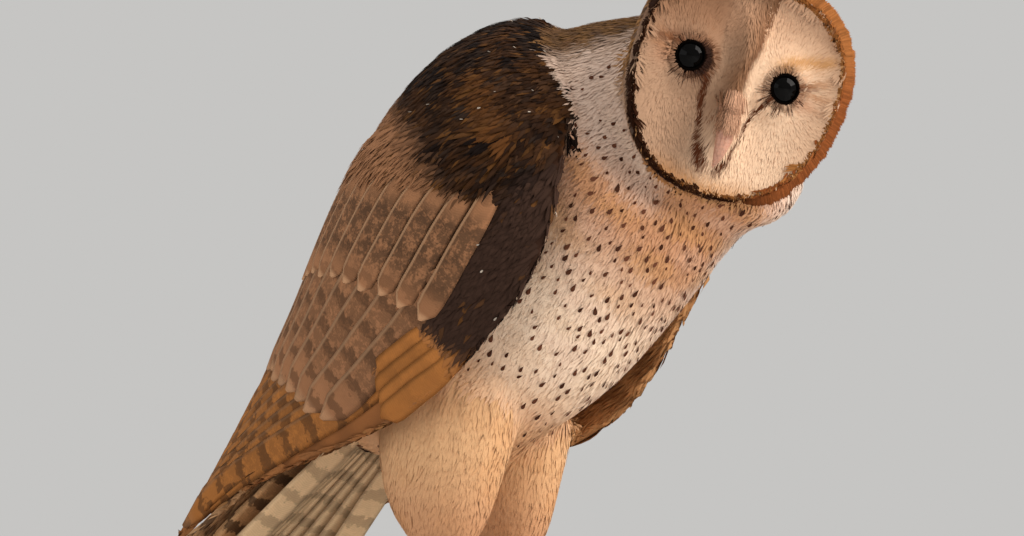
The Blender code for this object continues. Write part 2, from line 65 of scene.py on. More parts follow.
# ---- proportions of the owl
HEAD_AZIMUTH, HEAD_PITCH, HEAD_ROLL = math.radians(-38.0), math.radians(-9.0), math.radians(12.5)
EYE_HALF_SPACING, EYE_RADIUS, EYE_DEPTH = 21.0, 8.6, 7.2
DISC_HALF_WIDTH, DISC_RISE, DISC_DROP, DISC_UP, DISC_POWER = 46.5, 38.0, 58.5, 3.0, 2.3
SPINE_RISE, TRUNK_ROLL = math.radians(51.0), math.radians(10.0)
TRUNK_FROM_EYES = (7.0, 105.0, -91.0)      # trunk's middle from the middle of the eye line
AXIS_SHIFT = 6.0                           # wing arcs' centre above the trunk's axis

HEAD, NECK, TRUNK, TAIL, WING, HAND, THIGH, TARSUS, FOOT = range(9)
COAT_DEPTH = np.array((2.0, 2.2, 2.2, 1.2, 2.0, 1.2, 2.4, 1.2, 0.1))       # in the same order
REGION = {"head": HEAD, "neck": NECK, "trunk": TRUNK, "tail": TAIL}
REGION |= {f"wing_{side}_{part}": region for side in ("left", "right")
           for part, region in (("arm", WING), ("hand", HAND))}
REGION |= {f"{part}_{side}": region for part, region in (("thigh", THIGH), ("tarsus", TARSUS),
                                                         ("foot", FOOT))
           for side in ("left", "right")}
SOFT = list(REGION)
INFLATE = 0.4                              # closes the small gaps between the solids
VOXEL = 1.6
BOX_MARGIN = 0.004                         # metres
FACE_BACK, FACE_REACH, FACE_DEPTH = -9.0, 0.93, 1.0
LID_RISE, LID_FOOT = 5.3, 19.0             # of the skin round the eyes: height and radius


def lin(r, g, b):
    """Linear colour from display values of 0 to 255."""
    c = np.array([r, g, b], float) / 255.0
    return np.where(c <= 0.04045, c / 12.92, ((c + 0.055) / 1.055) ** 2.4)


def unit(v):
    return v / np.maximum(np.linalg.norm(v, axis=-1, keepdims=True), 1e-9)


def ramp(x, a, b):
    """0 at a, 1 at b and smooth between."""
    t = np.clip((x - a) / (b - a), 0.0, 1.0)
    return t * t * (3.0 - 2.0 * t)


def bell(x, width):
    """1 at 0, and near 0 beyond twice the width."""
    return np.exp(-(x / width) ** 2)


def band(x, a, b, c, d):
    """0 up to a, 1 from b to c and 0 from d on."""
    return ramp(x, a, b) * (1 - ramp(x, c, d))


def mix(a, b, t):
    return a + (b - a) * np.asarray(t)[..., None]


def coated(colour, *coats):
    """A colour with coats of (colour, share) laid over it in turn."""
    for other, share in coats:
        colour = mix(colour, other, share)
    return colour


def flat_on(v, n):
    """The way of v along the surface whose normal is n."""
    return unit(v - n * np.sum(v * n, -1, keepdims=True))


def read(items, key, width, kind=np.float32):
    """Values of a mesh's items, as rows of `width`."""
    out = np.empty(len(items) * width, kind)
    items.foreach_get(key, out)
    return out.reshape(-1, width)


def write(items, key, values, kind=np.float32):
    items.foreach_set(key, np.ascontiguousarray(values, kind).ravel())


# ---- frames of head and trunk
def middle_of(node):
    low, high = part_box(node)
    return np.array((low + high) / 2.0)


HEAD_AXES = np.array((Matrix.Rotation(HEAD_AZIMUTH + math.pi, 3, 'Z')
                      @ Matrix.Rotation(HEAD_PITCH, 3, 'X')
                      @ Matrix.Rotation(-HEAD_ROLL, 3, 'Y')
                      @ Matrix.Diagonal((-1.0, 1.0, 1.0))))
HEAD_ORIGIN = ((middle_of("eye_left") + middle_of("eye_right")) / 2.0
               - HEAD_AXES @ np.array((0.0, -EYE_DEPTH, 0.0)) * MM)
TRUNK_AXES = np.array(Matrix.Rotation(TRUNK_ROLL, 3, 'Y') @ Matrix((
    (1.0, 0.0, 0.0), (0.0, -math.cos(SPINE_RISE), math.sin(SPINE_RISE)),
    (0.0, math.sin(SPINE_RISE), math.cos(SPINE_RISE)))).transposed())
TRUNK_ORIGIN = HEAD_ORIGIN + np.array(TRUNK_FROM_EYES) * MM


def to_head(p):
    """(bird's left, forward, up) from the middle of the eye line."""
    return (p - HEAD_ORIGIN) @ HEAD_AXES / MM


def to_trunk(p):
    """(bird's left, along the spine, dorsal) from the trunk's middle."""
    return (p - TRUNK_ORIGIN) @ TRUNK_AXES / MM


def from_head(h):
    return HEAD_ORIGIN + np.asarray(h, float) @ HEAD_AXES.T * MM


def from_trunk(q):
    return TRUNK_ORIGIN + np.asarray(q, float) @ TRUNK_AXES.T * MM


def eye_way(side):
    """The way an eye looks: forward, and a little to its own side."""
    return unit(HEAD_AXES @ np.array((0.10 * side, 1.0, 0.0)))


def disc_reach(h):
    """0 in the middle of the facial disc, 1 at its rim."""
    z = h[:, 2] - DISC_UP
    half = np.where(z > 0, DISC_RISE, DISC_DROP)
    return ((np.abs(h[:, 0]) / DISC_HALF_WIDTH) ** DISC_POWER
            + (np.abs(z) / half) ** DISC_POWER) ** (1.0 / DISC_POWER)


def wave(p, scale, seed):
    """Smooth noise between about -1 and 1, from a few crossed waves."""
    r = np.random.default_rng(seed)
    total = np.zeros(len(p))
    for k in range(7):
        d = unit(r.normal(size=3)) * (0.7 + 0.9 * r.random()) * 2 * math.pi / (scale * MM)
        total += np.sin(p @ d + r.random() * 6.283)
    return total / 3.2


# ---- skin
def node_mesh(name):
    """Points and triangles of a CAD node, with its double points joined."""
    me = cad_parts[name].data
    me.calc_loop_triangles()
    co = read(me.vertices, "co", 3).astype(float)
    tri = read(me.loop_triangles, "vertices", 3, np.int32)
    _, first, back = np.unique(np.round(co, 6), axis=0, return_index=True, return_inverse=True)
    tri = back.reshape(-1)[tri]
    tri = tri[(tri[:, 0] != tri[:, 1]) & (tri[:, 1] != tri[:, 2]) & (tri[:, 0] != tri[:, 2])]
    return co[first], tri


def face_cross(co, tri):
    """Normals of triangles, each as long as twice the area."""
    return np.cross(co[tri[:, 1]] - co[tri[:, 0]], co[tri[:, 2]] - co[tri[:, 0]])


def vertex_normals(co, tri):
    face = face_cross(co, tri)
    out = np.zeros_like(co)
    for k in range(3):
        for a in range(3):
            out[:, a] += np.bincount(tri[:, k], face[:, a], len(co))
    return unit(out)


def join(pieces):
    """One set of points and faces out of several."""
    starts = np.cumsum([0] + [len(co) for co, _ in pieces])
    return (np.concatenate([co for co, _ in pieces]),
            np.concatenate([faces + start for (_, faces), start in zip(pieces, starts)]))


def tree_of(co, faces):
    return BVHTree.FromPolygons(co.tolist(), faces.tolist())


def point_tree(points):
    tree = KDTree(len(points))
    for i, point in enumerate(points):
        tree.insert(point, i)
    tree.balance()
    return tree


def new_mesh(name, co, faces):
    """Mesh from vertices and an array of equal-length faces."""
    me = bpy.data.meshes.new(name)
    me.vertices.add(len(co))
    write(me.vertices, "co", co)
    me.loops.add(faces.size)
    write(me.loops, "vertex_index", faces, np.int32)
    me.polygons.add(len(faces))
    write(me.polygons, "loop_start", np.arange(0, faces.size, faces.shape[1]), np.int32)
    me.update(calc_edges=True)
    return me


def colour_layer(me, name, rgba):
    write(me.color_attributes.new(name, 'FLOAT_COLOR', 'POINT').data, "color", rgba)


def placed(name, data):
    obj = bpy.data.objects.new(name, data)
    bpy.context.scene.collection.objects.link(obj)
    return obj


def add_object(name, me, mat):
    obj = placed(name, me)
    me.materials.append(mat)
    me.shade_smooth()
    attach(obj, "root")
    return obj


node_tree, pieces = {}, []
for soft in SOFT:
    co, tri = node_mesh(soft)
    node_tree[soft] = tree_of(co, tri)
    pieces.append((co + vertex_normals(co, tri) * INFLATE * MM, tri))
joined = placed("joined", new_mesh("joined", *join(pieces)))
remesh = joined.modifiers.new("remesh", 'REMESH')
remesh.mode = 'VOXEL'
remesh.voxel_size = VOXEL * MM
bpy.context.view_layer.update()
graph = bpy.context.evaluated_depsgraph_get()
body = bpy.data.meshes.new_from_object(joined.evaluated_get(graph))
bpy.data.objects.remove(joined)
body_co = read(body.vertices, "co", 3).astype(float)
quads = np.array([p.vertices for p in body.polygons])
edges = read(body.edges, "vertices", 2, np.int32)
bpy.data.meshes.remove(body)
ends = np.concatenate([edges[:, 0], edges[:, 1]])
others = np.concatenate([edges[:, 1], edges[:, 0]])
degree = np.maximum(np.bincount(ends, minlength=len(body_co)), 1)


def relax(values, times, share=0.5):
    """Values at the skin's points, drawn towards their neighbours' mean."""
    values = np.asarray(values, float)
    flat = values.reshape(len(values), -1)
    for _ in range(times):
        mean = np.stack([np.bincount(ends, flat[others, k], len(flat)) / degree
                         for k in range(flat.shape[1])], 1)
        flat = flat + (mean - flat) * share
    return flat.reshape(values.shape)


body_co = relax(body_co, 2)
nearest = np.full(len(body_co), 1e9)
body_region = np.zeros(len(body_co), int)
for soft in SOFT:
    low, high = (np.array(v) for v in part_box(soft))
    inside = np.where(np.all((body_co > low - BOX_MARGIN) & (body_co < high + BOX_MARGIN),
                             axis=1))[0]
    find = node_tree[soft].find_nearest
    for i in inside:
        hit = find(body_co[i])
        if hit[3] < nearest[i]:
            nearest[i], body_region[i] = hit[3], REGION[soft]
quad_tri = np.concatenate([quads[:, [0, 1, 2]], quads[:, [0, 2, 3]]])
h = to_head(body_co)
depth = COAT_DEPTH[body_region]
on_face = (body_region == HEAD) & (h[:, 1] > FACE_BACK) & (disc_reach(h) < FACE_REACH)
depth[on_face] = FACE_DEPTH
depth = relax(depth, 10)
body_co -= vertex_normals(body_co, quad_tri) * (depth + INFLATE)[:, None] * MM
body_co = relax(body_co, 1)
for name, side in (("eye_left", 1.0), ("eye_right", -1.0)):     # the skin rises to the lids
    axis = eye_way(side)
    away = (body_co - middle_of(name)) / MM
    height = away @ axis
    radial = np.linalg.norm(away - np.outer(height, axis), axis=1)
    lift = np.clip(LID_RISE - height, 0.0, 9.0) * (1 - ramp(radial, EYE_RADIUS, LID_FOOT))
    lift[(body_region != HEAD) | (height < -6.5)] = 0.0
    body_co += np.outer(lift, axis) * MM
body_normal = vertex_normals(body_co, quad_tri)
body_tree = tree_of(body_co, quads)


def on_skin(points):
    """Nearest points of the skin, its normals there, and the faces."""
    found = [body_tree.find_nearest(x) for x in points]
    return tuple(np.array([f[k] for f in found]) for k in range(3))


# ---- markings
FACE_PALE = lin(230, 196, 164)
# pinkish grey wash of the disc, laid on more strongly as painted shade
FACE_WASH_AND_SHADE = lin(144, 107, 81)
FACE_CHIN = lin(182, 128, 78)
# tan of the facial ridge, darkened as painted shade for its shaded side
RIDGE_TAN_AND_SHADE = lin(128, 88, 60)
DARK_BROWN = lin(40, 21, 13)
LINE_BROWN = lin(84, 44, 24)
RIM_DARK = lin(46, 23, 10)
RIM_RUST = lin(130, 72, 36)
RIM_GOLD = lin(158, 104, 56)
CROWN = lin(164, 118, 72)
CROWN_GREY = lin(112, 88, 72)
NECK_PALE = lin(222, 206, 192)
BREAST = lin(198, 144, 106)
BELLY = lin(248, 220, 192)
FLANK = lin(216, 162, 116)
MANTLE = lin(24, 16, 13)
MANTLE_GOLD = lin(96, 59, 29)
COVERT = lin(158, 111, 78)
ALULA = lin(58, 41, 33)
GOLD = lin(168, 108, 56)
BROW_BROWN = lin(104, 62, 38)


def wing_place(p):
    """Place along the spine and angle above the side, for the wings' markings."""
    q = to_trunk(p)
    return q[:, 0], q[:, 1], np.degrees(np.arctan2(q[:, 2] - AXIS_SHIFT, np.abs(q[:, 0])))


def paint_face(h):
    """Colour of the facial disc, from places in the head's frame."""
    x, z = h[:, 0], h[:, 2]
    ax, left = np.abs(x), x > 0
    crest = x - 0.2 * np.clip(z, 0, 40) - 1.0
    c = coated(
        # painted shade: darker on the bird's right and over the top of the face, over a real
        # pinkish grey wash
        FACE_PALE, (FACE_WASH_AND_SHADE, ramp(-x, -6, 16) * (0.75 + 0.25 * ramp(z, -10, 20))),
        (mix(lin(196, 148, 114), lin(138, 100, 74), ramp(-x, 2, 20)), 0.6 * ramp(z, 6, 24)),
        (lin(186, 140, 106), 0.5 * ramp(x, 24, 40)), (FACE_CHIN, 0.85 * ramp(-z, 36, 50)),
        # painted shade over the ridge's tan: wide on the bird's right of the crest, narrow on its
        # left
        (RIDGE_TAN_AND_SHADE, 0.95 * bell(crest, np.where(crest > 0, 2.2, 10.0)) * ramp(z, -30, -10)),
        # painted shade: thin dark line in the fold along the crest
        (lin(120, 82, 58), 0.5 * bell(crest, 0.8) * ramp(z, 10, 20)))
    # round the eyes: ex outwards and ez up from the eye's middle
    ex, ez = ax - EYE_HALF_SPACING, z
    r, way = np.hypot(ex, ez), np.arctan2(ez, ex)
    fan = np.clip(0.35 + 0.65 * np.sin(way * 17.0 + 0.8), 0, 1) * bell(r - 12.5, 6.0)
    for colour, on_left, on_right, shape in (
            # brow: brown and short over the right eye, golden and long over the left one
            (BROW_BROWN, 0.0, 0.85, bell(ez - 6.0 + 0.19 * ex, 2.1) * band(ex, -3, 5, 11, 21)),
            (lin(156, 112, 82), 0.0, 0.6,
             bell(ez - 1.0 + 0.1 * ex, 2.6) * band(ex, 2, 7, 10, 19)),
            (lin(190, 138, 84), 0.85, 0.0,
             bell(ez - 9.4 - 0.36 * ex, 2.4) * band(ex, -9, 0, 12, 22)),
            # wedge, fan and blush at the outer corner
            (lin(92, 46, 30), 0.9, 0.2, bell(ez - 2.2 - 0.1 * ex, 1.0 + 0.14 * np.clip(
                12 - ex, 0, 12)) * band(ex, 3, 6, 9, 15)),
            (lin(176, 120, 78), 0.75, 0.25, fan * ramp(ex, 2, 8) * bell(way - 0.2, 0.5)),
            (lin(190, 132, 100), 0.5, 0.2, bell(ex - 9, 5) * bell(ez + 3.5, 3))):
        c = mix(c, colour, np.where(left, on_left, on_right) * shape)
    # dark line from the inner corner of each eye down beside the bill
    t = np.clip((-z - 6.0) / 32.0, 0.0, 1.0)
    line_x = np.where(left, 16.9 - 12.6 * t, 13.0 - 10.4 * t ** 0.95)
    width = np.where(left, 1.1 + 0.9 * ramp(t, 0.55, 0.9), 1.6 + 1.3 * ramp(t, 0.6, 0.95))
    line = bell(ax - line_x, width) * band(-z, 2, 6, 35, 43) * (1 - 0.25 * bell(t - 0.6, 0.16))
    # near black ring, which is wider towards the bill on the right eye
    ring = r + np.where(left, -0.5, 1.5) * np.cos(way)
    return coated(c, (LINE_BROWN, np.clip(1.25 * line, 0, 1)),
                  (BROW_BROWN, 0.8 * (1 - ramp(ring, 7.2, 9.6))),
                  (DARK_BROWN, 0.97 * (1 - ramp(ring, 6.5, 8.2))))


def rim_left(h):
    """Share of the golden rim, on the bird's left of the disc; elsewhere the rim is darker, partly
    real colour and partly painted shade.
    """
    return ramp(h[:, 0], 4.0, 22.0) * ramp(h[:, 2], -58.0, -42.0)


def rim_start(h):
    """Reach at which the white of the disc ends."""
    left = rim_left(h)
    return 0.948 - 0.038 * left - 0.036 * (1 - left) * ramp(-h[:, 2], 8.0, 26.0)


def rim_colour(h):
    """Golden rust on the bird's left of the disc, near black brown at the bottom and right, which
    is partly real colour and partly painted shade.
    """
    z, reach = h[:, 2], disc_reach(h)
    inner = 1 - ramp(reach, 0.914, 0.926)
    gold = coated(RIM_GOLD, (RIM_RUST, ramp(reach, 0.925, 0.975) * (1 - 0.5 * ramp(z, 0, 26))),
                  (RIM_DARK, inner * (0.35 + 0.55 * ramp(z, 6.0, 24.0))))
    lit = (1 - ramp(reach, 0.925, 0.945)) * ramp(-z, 40, 52)
    return coated(RIM_DARK, (lin(112, 68, 32), lit), (gold, rim_left(h)))


def paint(p, region):
    """Colour of skin and plumage at points, each in its region of the body."""
    h, q = to_head(p), to_trunk(p)
    side, along, angle = wing_place(p)
    n1, n2, n3 = wave(p, 26, 1), wave(p, 9, 2), wave(p, 4.5, 3)
    blotch = np.clip(n1, 0, 1)
    low = ramp(-along, -62.0, -8.0)
    under = coated(
        BREAST, (BELLY, low), (NECK_PALE, ramp(q[:, 0], 6.0, 34.0) * (1 - low) * 0.75),
        (FLANK, 0.85 * ramp(-q[:, 1], 22.0, 58.0)),
        (lin(206, 150, 92), 0.4 * blotch * (1 - 0.6 * low)),
        (lin(228, 190, 168), 0.3 * np.clip(-n1, 0, 1)),
        (lin(226, 174, 128), 0.7 * ramp(-along, 6.0, 46.0)),
        (NECK_PALE, 0.6 * ramp(-q[:, 0], 14.0, 30.0) * ramp(along, 62.0, 80.0)))
    # upper parts; the right wing is plain but for one patch
    golden = np.clip(0.12 + 0.75 * n1 + 0.55 * n2, 0, 1)
    patch = bell(along - 54.0 - 0.35 * (angle - 8.0), 9.0) * band(angle, -12, -2, 20, 32)
    golden = np.where((side < 0) & (region == WING), np.clip(np.maximum(
        0.35 * golden, patch * (0.75 + 0.6 * n2)), 0, 1), golden)
    upper = coated(MANTLE, (MANTLE_GOLD, golden), (CROWN_GREY, 0.15 * np.clip(n3, 0, 1)))
    # head: disc, rim and what is behind the rim
    crown = coated(CROWN, (CROWN_GREY, np.clip(0.35 + 0.5 * n2 + 0.3 * n3, 0, 1)),
                   (lin(176, 128, 76), ramp(h[:, 0], 10, 38) * 0.7))
    behind = mix(crown, under, ramp(-h[:, 2], 14.0, 34.0))
    reach, rim = disc_reach(h), rim_colour(h)
    head = mix(paint_face(h), rim, ramp(reach, rim_start(h), rim_start(h) + 0.012)
               * (1 - ramp(-h[:, 1], 2.0, 6.0)))
    head = np.where((reach > 0.965)[:, None], mix(rim, behind, ramp(-h[:, 1], 0.0, 4.0)
                                                  * ramp(reach, 0.94, 0.97)), head)
    head = np.where((h[:, 1] < -12.0)[:, None], behind, head)
    # wings: dark mantle, coverts, alula and golden lower edge
    wing = coated(
        upper, (COVERT, ramp(-along, -30.0, -14.0)),
        (lin(90, 56, 28), np.clip(bell(angle - 16.0, 17.0) * ramp(along, 18, 34) * np.where(
            side < 0, 0.2, 1.0) * (0.6 + 0.6 * n2), 0, 1)),
        (ALULA, ramp(-angle, 17.0, 23.0) * (1 - ramp(-along, 22.0, 30.0))),
        (GOLD, ramp(-along, 22.0, 30.0) * ramp(-angle, 14.0, 22.0) * 0.85),
        (mix(lin(178, 130, 86), lin(150, 106, 68), blotch),
         np.where(side > 0, 0.95 * (1 - ramp(angle, -10.0, 25.0)), 0.0)))
    colours = {
        HEAD: head, NECK: mix(under, mix(crown, upper, 0.5), ramp(angle, 22.0, 44.0)),
        TRUNK: mix(under, upper, ramp(angle, 18.0, 40.0)),
        TAIL: mix(lin(190, 146, 104), lin(96, 72, 54), np.clip(0.3 + 0.6 * n2, 0, 1)),
        WING: wing,
        HAND: coated(COVERT, (GOLD, 0.6), (ALULA, np.clip(0.4 + 0.5 * n1, 0, 1) * 0.5)),
        THIGH: coated(lin(222, 174, 128), (BREAST, 0.8 * ramp(-p[:, 2], -0.09, -0.05)),
                      (lin(204, 146, 96), 0.4 * blotch)),
        TARSUS: np.tile(lin(222, 190, 158), (len(p), 1)),
        FOOT: np.tile(lin(150, 126, 108), (len(p), 1))}
    out = np.zeros((len(p), 3))
    for key, value in colours.items():
        out[region == key] = value[region == key]
    return out


# ---- even places on the skin, and the lie of the plumage
TRIES = 5.0                                # random places tried for each one wanted
CELL_HASH = np.array((73856093, 19349663, 83492791))


def scatter(mask, spacing, tightness=0.62):
    """Even random places on the skin: face index, weights, point, normal and region.

    Of the places in a cube one is taken, and none nearer to another than the spacing times
    `tightness`."""
    tris = quad_tri[mask]
    a, b, c = (body_co[tris[:, k]] for k in range(3))
    area = np.linalg.norm(face_cross(body_co, tris), axis=1) / 2.0
    count = int(area.sum() / (spacing * MM) ** 2 * TRIES)
    pick = RNG.choice(len(tris), count, p=area / area.sum())
    r1, r2 = np.sqrt(RNG.random(count)), RNG.random(count)
    w = np.stack([1 - r1, r1 * (1 - r2), r1 * r2], 1)
    p = (a[pick] * w[:, :1] + b[pick] * w[:, 1:2] + c[pick] * w[:, 2:])
    cell = np.floor(p / (spacing * MM)).astype(np.int64)
    off = np.linalg.norm(p / (spacing * MM) - cell - 0.5, axis=1) + RNG.random(count) * 0.25
    key = np.bitwise_xor.reduce(cell * CELL_HASH, axis=1)
    order = np.lexsort((off, key))
    first = np.ones(count, bool)
    first[1:] = key[order][1:] != key[order][:-1]
    chosen = order[first]
    RNG.shuffle(chosen)
    tree = point_tree(p[chosen])
    dropped = np.zeros(len(chosen), bool)
    for i, k in enumerate(chosen):
        if not dropped[i]:
            for _, j, _ in tree.find_range(p[k], spacing * tightness * MM):
                if j > i:
                    dropped[j] = True
    chosen = chosen[~dropped]
    tri, w = tris[pick[chosen]], w[chosen]
    normal = unit(sum(body_normal[tri[:, k]] * w[:, k:k + 1] for k in range(3)))
    major = tri[np.arange(len(tri)), np.argmax(w, 1)]
    return {"tri": np.where(mask)[0][pick[chosen]], "w": w, "p": p[chosen], "n": normal,
            "region": body_region[major]}


def lie(p, n, region):
    """The way the plumage lies, along the skin."""
    h = to_head(p)
    v = np.tile(-TRUNK_AXES[:, 1], (len(p), 1))
    v[region == HEAD] = -HEAD_AXES[:, 1] - 0.75 * HEAD_AXES[:, 2]
    face = (region == HEAD) & (disc_reach(h) < 0.95) & (h[:, 1] > -9)
    sx = np.where(h[:, 0] > 0, 1.0, -1.0)
    g = unit(np.stack([h[:, 0] - sx * EYE_HALF_SPACING, h[:, 2]], 1))
    ridge = np.maximum(bell(h[:, 0], 9.0) * ramp(h[:, 2], -48, -30),
                       bell(h[:, 0], 5.0) * ramp(h[:, 2], -10, 10))
    g = mix(g, np.stack([0.3 * sx * np.minimum(np.abs(h[:, 0]) / 6, 1), -np.ones(len(p))], 1),
            np.clip(1.4 * ridge, 0, 1))
    fan = g[:, :1] * HEAD_AXES[:, 0] + g[:, 1:] * HEAD_AXES[:, 2]
    v[face] = fan[face]
    v[np.isin(region, (THIGH, TARSUS))] = 0.0, 0.25, -1.0
    v[region == FOOT] = 0.0, -1.0, -0.2
    return flat_on(v, n)


def turned(d, n, degrees):
    """Ways d turned about the normals n."""
    a = np.radians(degrees)[:, None]
    return d * np.cos(a) + np.cross(n, d) * np.sin(a)


# ---- closed vanes
BAKE_PATCH = 0.003                         # side of a tuft's patch on the bake map
ROWS_BLADE = ((0.30, 0.85), (0.72, 0.70))
SECTION_BLADE = ((-1.0, 0.0), (0.0, 0.5), (1.0, 0.0))
SECTION_PLUME = ((-1.0, -0.25), (0.0, 0.55), (1.0, -0.25), (0.0, 0.0))


def vanes(p, d, n, length, width, sink, rise, thick, rows, section, follow=True):
    """Vertices and faces of closed vanes that run over the skin.

    Returns (co, faces, u, t, owner, skin's normals).  Each vane starts `sink` under the skin and
    its end stands `rise` over it; both in millimetres, as are length and half width."""
    count, m = len(p), len(section)
    length, width, sink, rise = (np.broadcast_to(x, (count,))
                                 for x in (length, width, sink, rise))
    centres, normals, sides = [], [], []
    at, dir_, last_t = p, d, 0.0
    for t in (0.0, *(row[0] for row in rows), 1.0):
        at = at + dir_ * ((t - last_t) * length * MM)[:, None]
        nn = n
        if t > 0.0 and follow:
            at, below, _ = on_skin(at)
            nn = unit(n * 0.35 + below)
        dir_ = flat_on(dir_, nn)
        lift = (-sink + (rise + sink) * (1 - (1 - t) ** 1.6)) * MM
        centres.append(at + nn * lift[:, None])
        normals.append(nn)
        sides.append(np.cross(dir_, nn))
        last_t = t
    co = np.empty((count, len(rows) * m + 2, 3))
    base = np.empty_like(co)
    u = np.empty((count, len(rows) * m + 2))
    tt = np.empty_like(u)
    co[:, 0], co[:, -1] = centres[0], centres[-1]
    base[:, 0], base[:, -1] = normals[0], normals[-1]
    u[:, 0], u[:, -1], tt[:, 0], tt[:, -1] = 0.5, 0.5, 0.0, 1.0
    for k, (t, w) in enumerate(rows):
        for j, (x, z) in enumerate(section):
            i = 1 + k * m + j
            co[:, i] = (centres[k + 1] + sides[k + 1] * (width * w * x * MM)[:, None]
                        + normals[k + 1] * (thick * z * MM))
            base[:, i] = normals[k + 1]
            u[:, i], tt[:, i] = 0.5 + 0.5 * x, t
    tri = []
    for j in range(m):
        k = (j + 1) % m
        tri.append((0, 1 + k, 1 + j))
        for r in range(len(rows) - 1):
            a, b = 1 + r * m, 1 + (r + 1) * m
            tri.append((a + j, a + k, b + k))
            tri.append((a + j, b + k, b + j))
        a = 1 + (len(rows) - 1) * m
        tri.append((a + j, a + k, len(rows) * m + 1))
    tri = np.array(tri)
    faces = (tri[None] + (np.arange(count) * co.shape[1])[:, None, None]).reshape(-1, 3)
    owner = np.repeat(np.arange(count), co.shape[1])
    return co.reshape(-1, 3), faces, u.ravel(), tt.ravel(), owner, base.reshape(-1, 3)


def dressed(name, mat, pieces, tint, marks, place, uv):
    """Object out of joined pieces, with its colour layers and its bake map."""
    me = new_mesh(name, *join(pieces))
    for key, values in (("tint", tint), ("marks", marks), ("place", place)):
        colour_layer(me, key, np.concatenate(values))
    write(me.uv_layers.new(name="OFBake").data, "uv",
          np.clip(np.concatenate(uv), 0.0005, 0.9995))
    return add_object(name, me, mat)


def coat_piece(name, parts, mat, soft=0.8):
    """One object out of several sets of vanes, shaded softly with the normals of the skin."""
    pieces, tint, marks, place, uv, normals = [], [], [], [], [], []
    for v, f, u, t, owner, base, style in parts:
        pieces.append((v, f))
        flat = unit(face_cross(v, f))
        upper = np.sum(flat * base[f].mean(1), 1) > -0.1      # undersides keep their own normal
        gentle = unit(mix(vertex_normals(v, f), base, np.full(len(v), soft)))
        normals.append(np.where(upper[:, None, None], gentle[f], flat[:, None]).reshape(-1, 3))
        tint.append(np.c_[style["tint"][owner], style["chance"][owner]])
        marks.append(style["marks"][owner])
        place.append(np.c_[u, t, style["length"][owner] / 100.0, style["chance"][owner]])
        uv.append((style["uv"][owner] + BAKE_PATCH * (np.c_[u, t] - 0.5))[f.ravel()])
    piece = dressed(name, mat, pieces, tint, marks, place, uv)
    piece.data.normals_split_custom_set(np.concatenate(normals).tolist())


# ---- materials
class Net:
    """Small helper for node trees; `node` gives a new node's outputs."""

    def __init__(self, name):
        self.mat = bpy.data.materials.new(name)
        self.mat.use_nodes = True
        self.tree = self.mat.node_tree

    def put(self, socket, value):
        if isinstance(value, bpy.types.NodeSocket):
            self.tree.links.new(value, socket)
        else:
            socket.default_value = value

    def node(self, kind, inputs=None, **settings):
        made = self.tree.nodes.new(kind)
        for key, value in settings.items():
            setattr(made, key, value)
        for key, value in (inputs or {}).items():
            self.put(made.inputs[key], value)
        return made.outputs

    def set(self, values):
        """Inputs of the surface shader."""
        for key, value in values.items():
            self.put(self.tree.nodes["Principled BSDF"].inputs[key], value)

    def math(self, operation, a, b=0.0):
        return self.node('ShaderNodeMath', {0: a, 1: b}, operation=operation)[0]

    def add(self, a, b):
        return self.math('ADD', a, b)

    def mul(self, a, b):
        return self.math('MULTIPLY', a, b)

    def ramp(self, value, low, high):
        return self.node('ShaderNodeMapRange', {"Value": value, "From Min": low, "From Max": high},
                         interpolation_type='SMOOTHSTEP')["Result"]

    def mix(self, share, a, b, blend='MIX'):
        return self.node('ShaderNodeMix', {"Factor": share, "A": a, "B": b}, data_type='RGBA',
                         blend_type=blend)["Result"]

    def attribute(self, name):
        return self.node('ShaderNodeAttribute', attribute_name=name)

    def noise(self, scale, detail=3.0):
        where = self.node('ShaderNodeTexCoord')["Object"]
        return self.node('ShaderNodeTexNoise', {"Vector": where, "Scale": scale,
                                                "Detail": detail, "Roughness": 0.6})["Fac"]

    def bump(self, height, distance, strength):
        self.set({"Normal": self.node('ShaderNodeBump', {
            "Height": height, "Distance": distance, "Strength": strength})[0]})


def rgba(colour):
    return (*[float(x) for x in colour], 1.0)


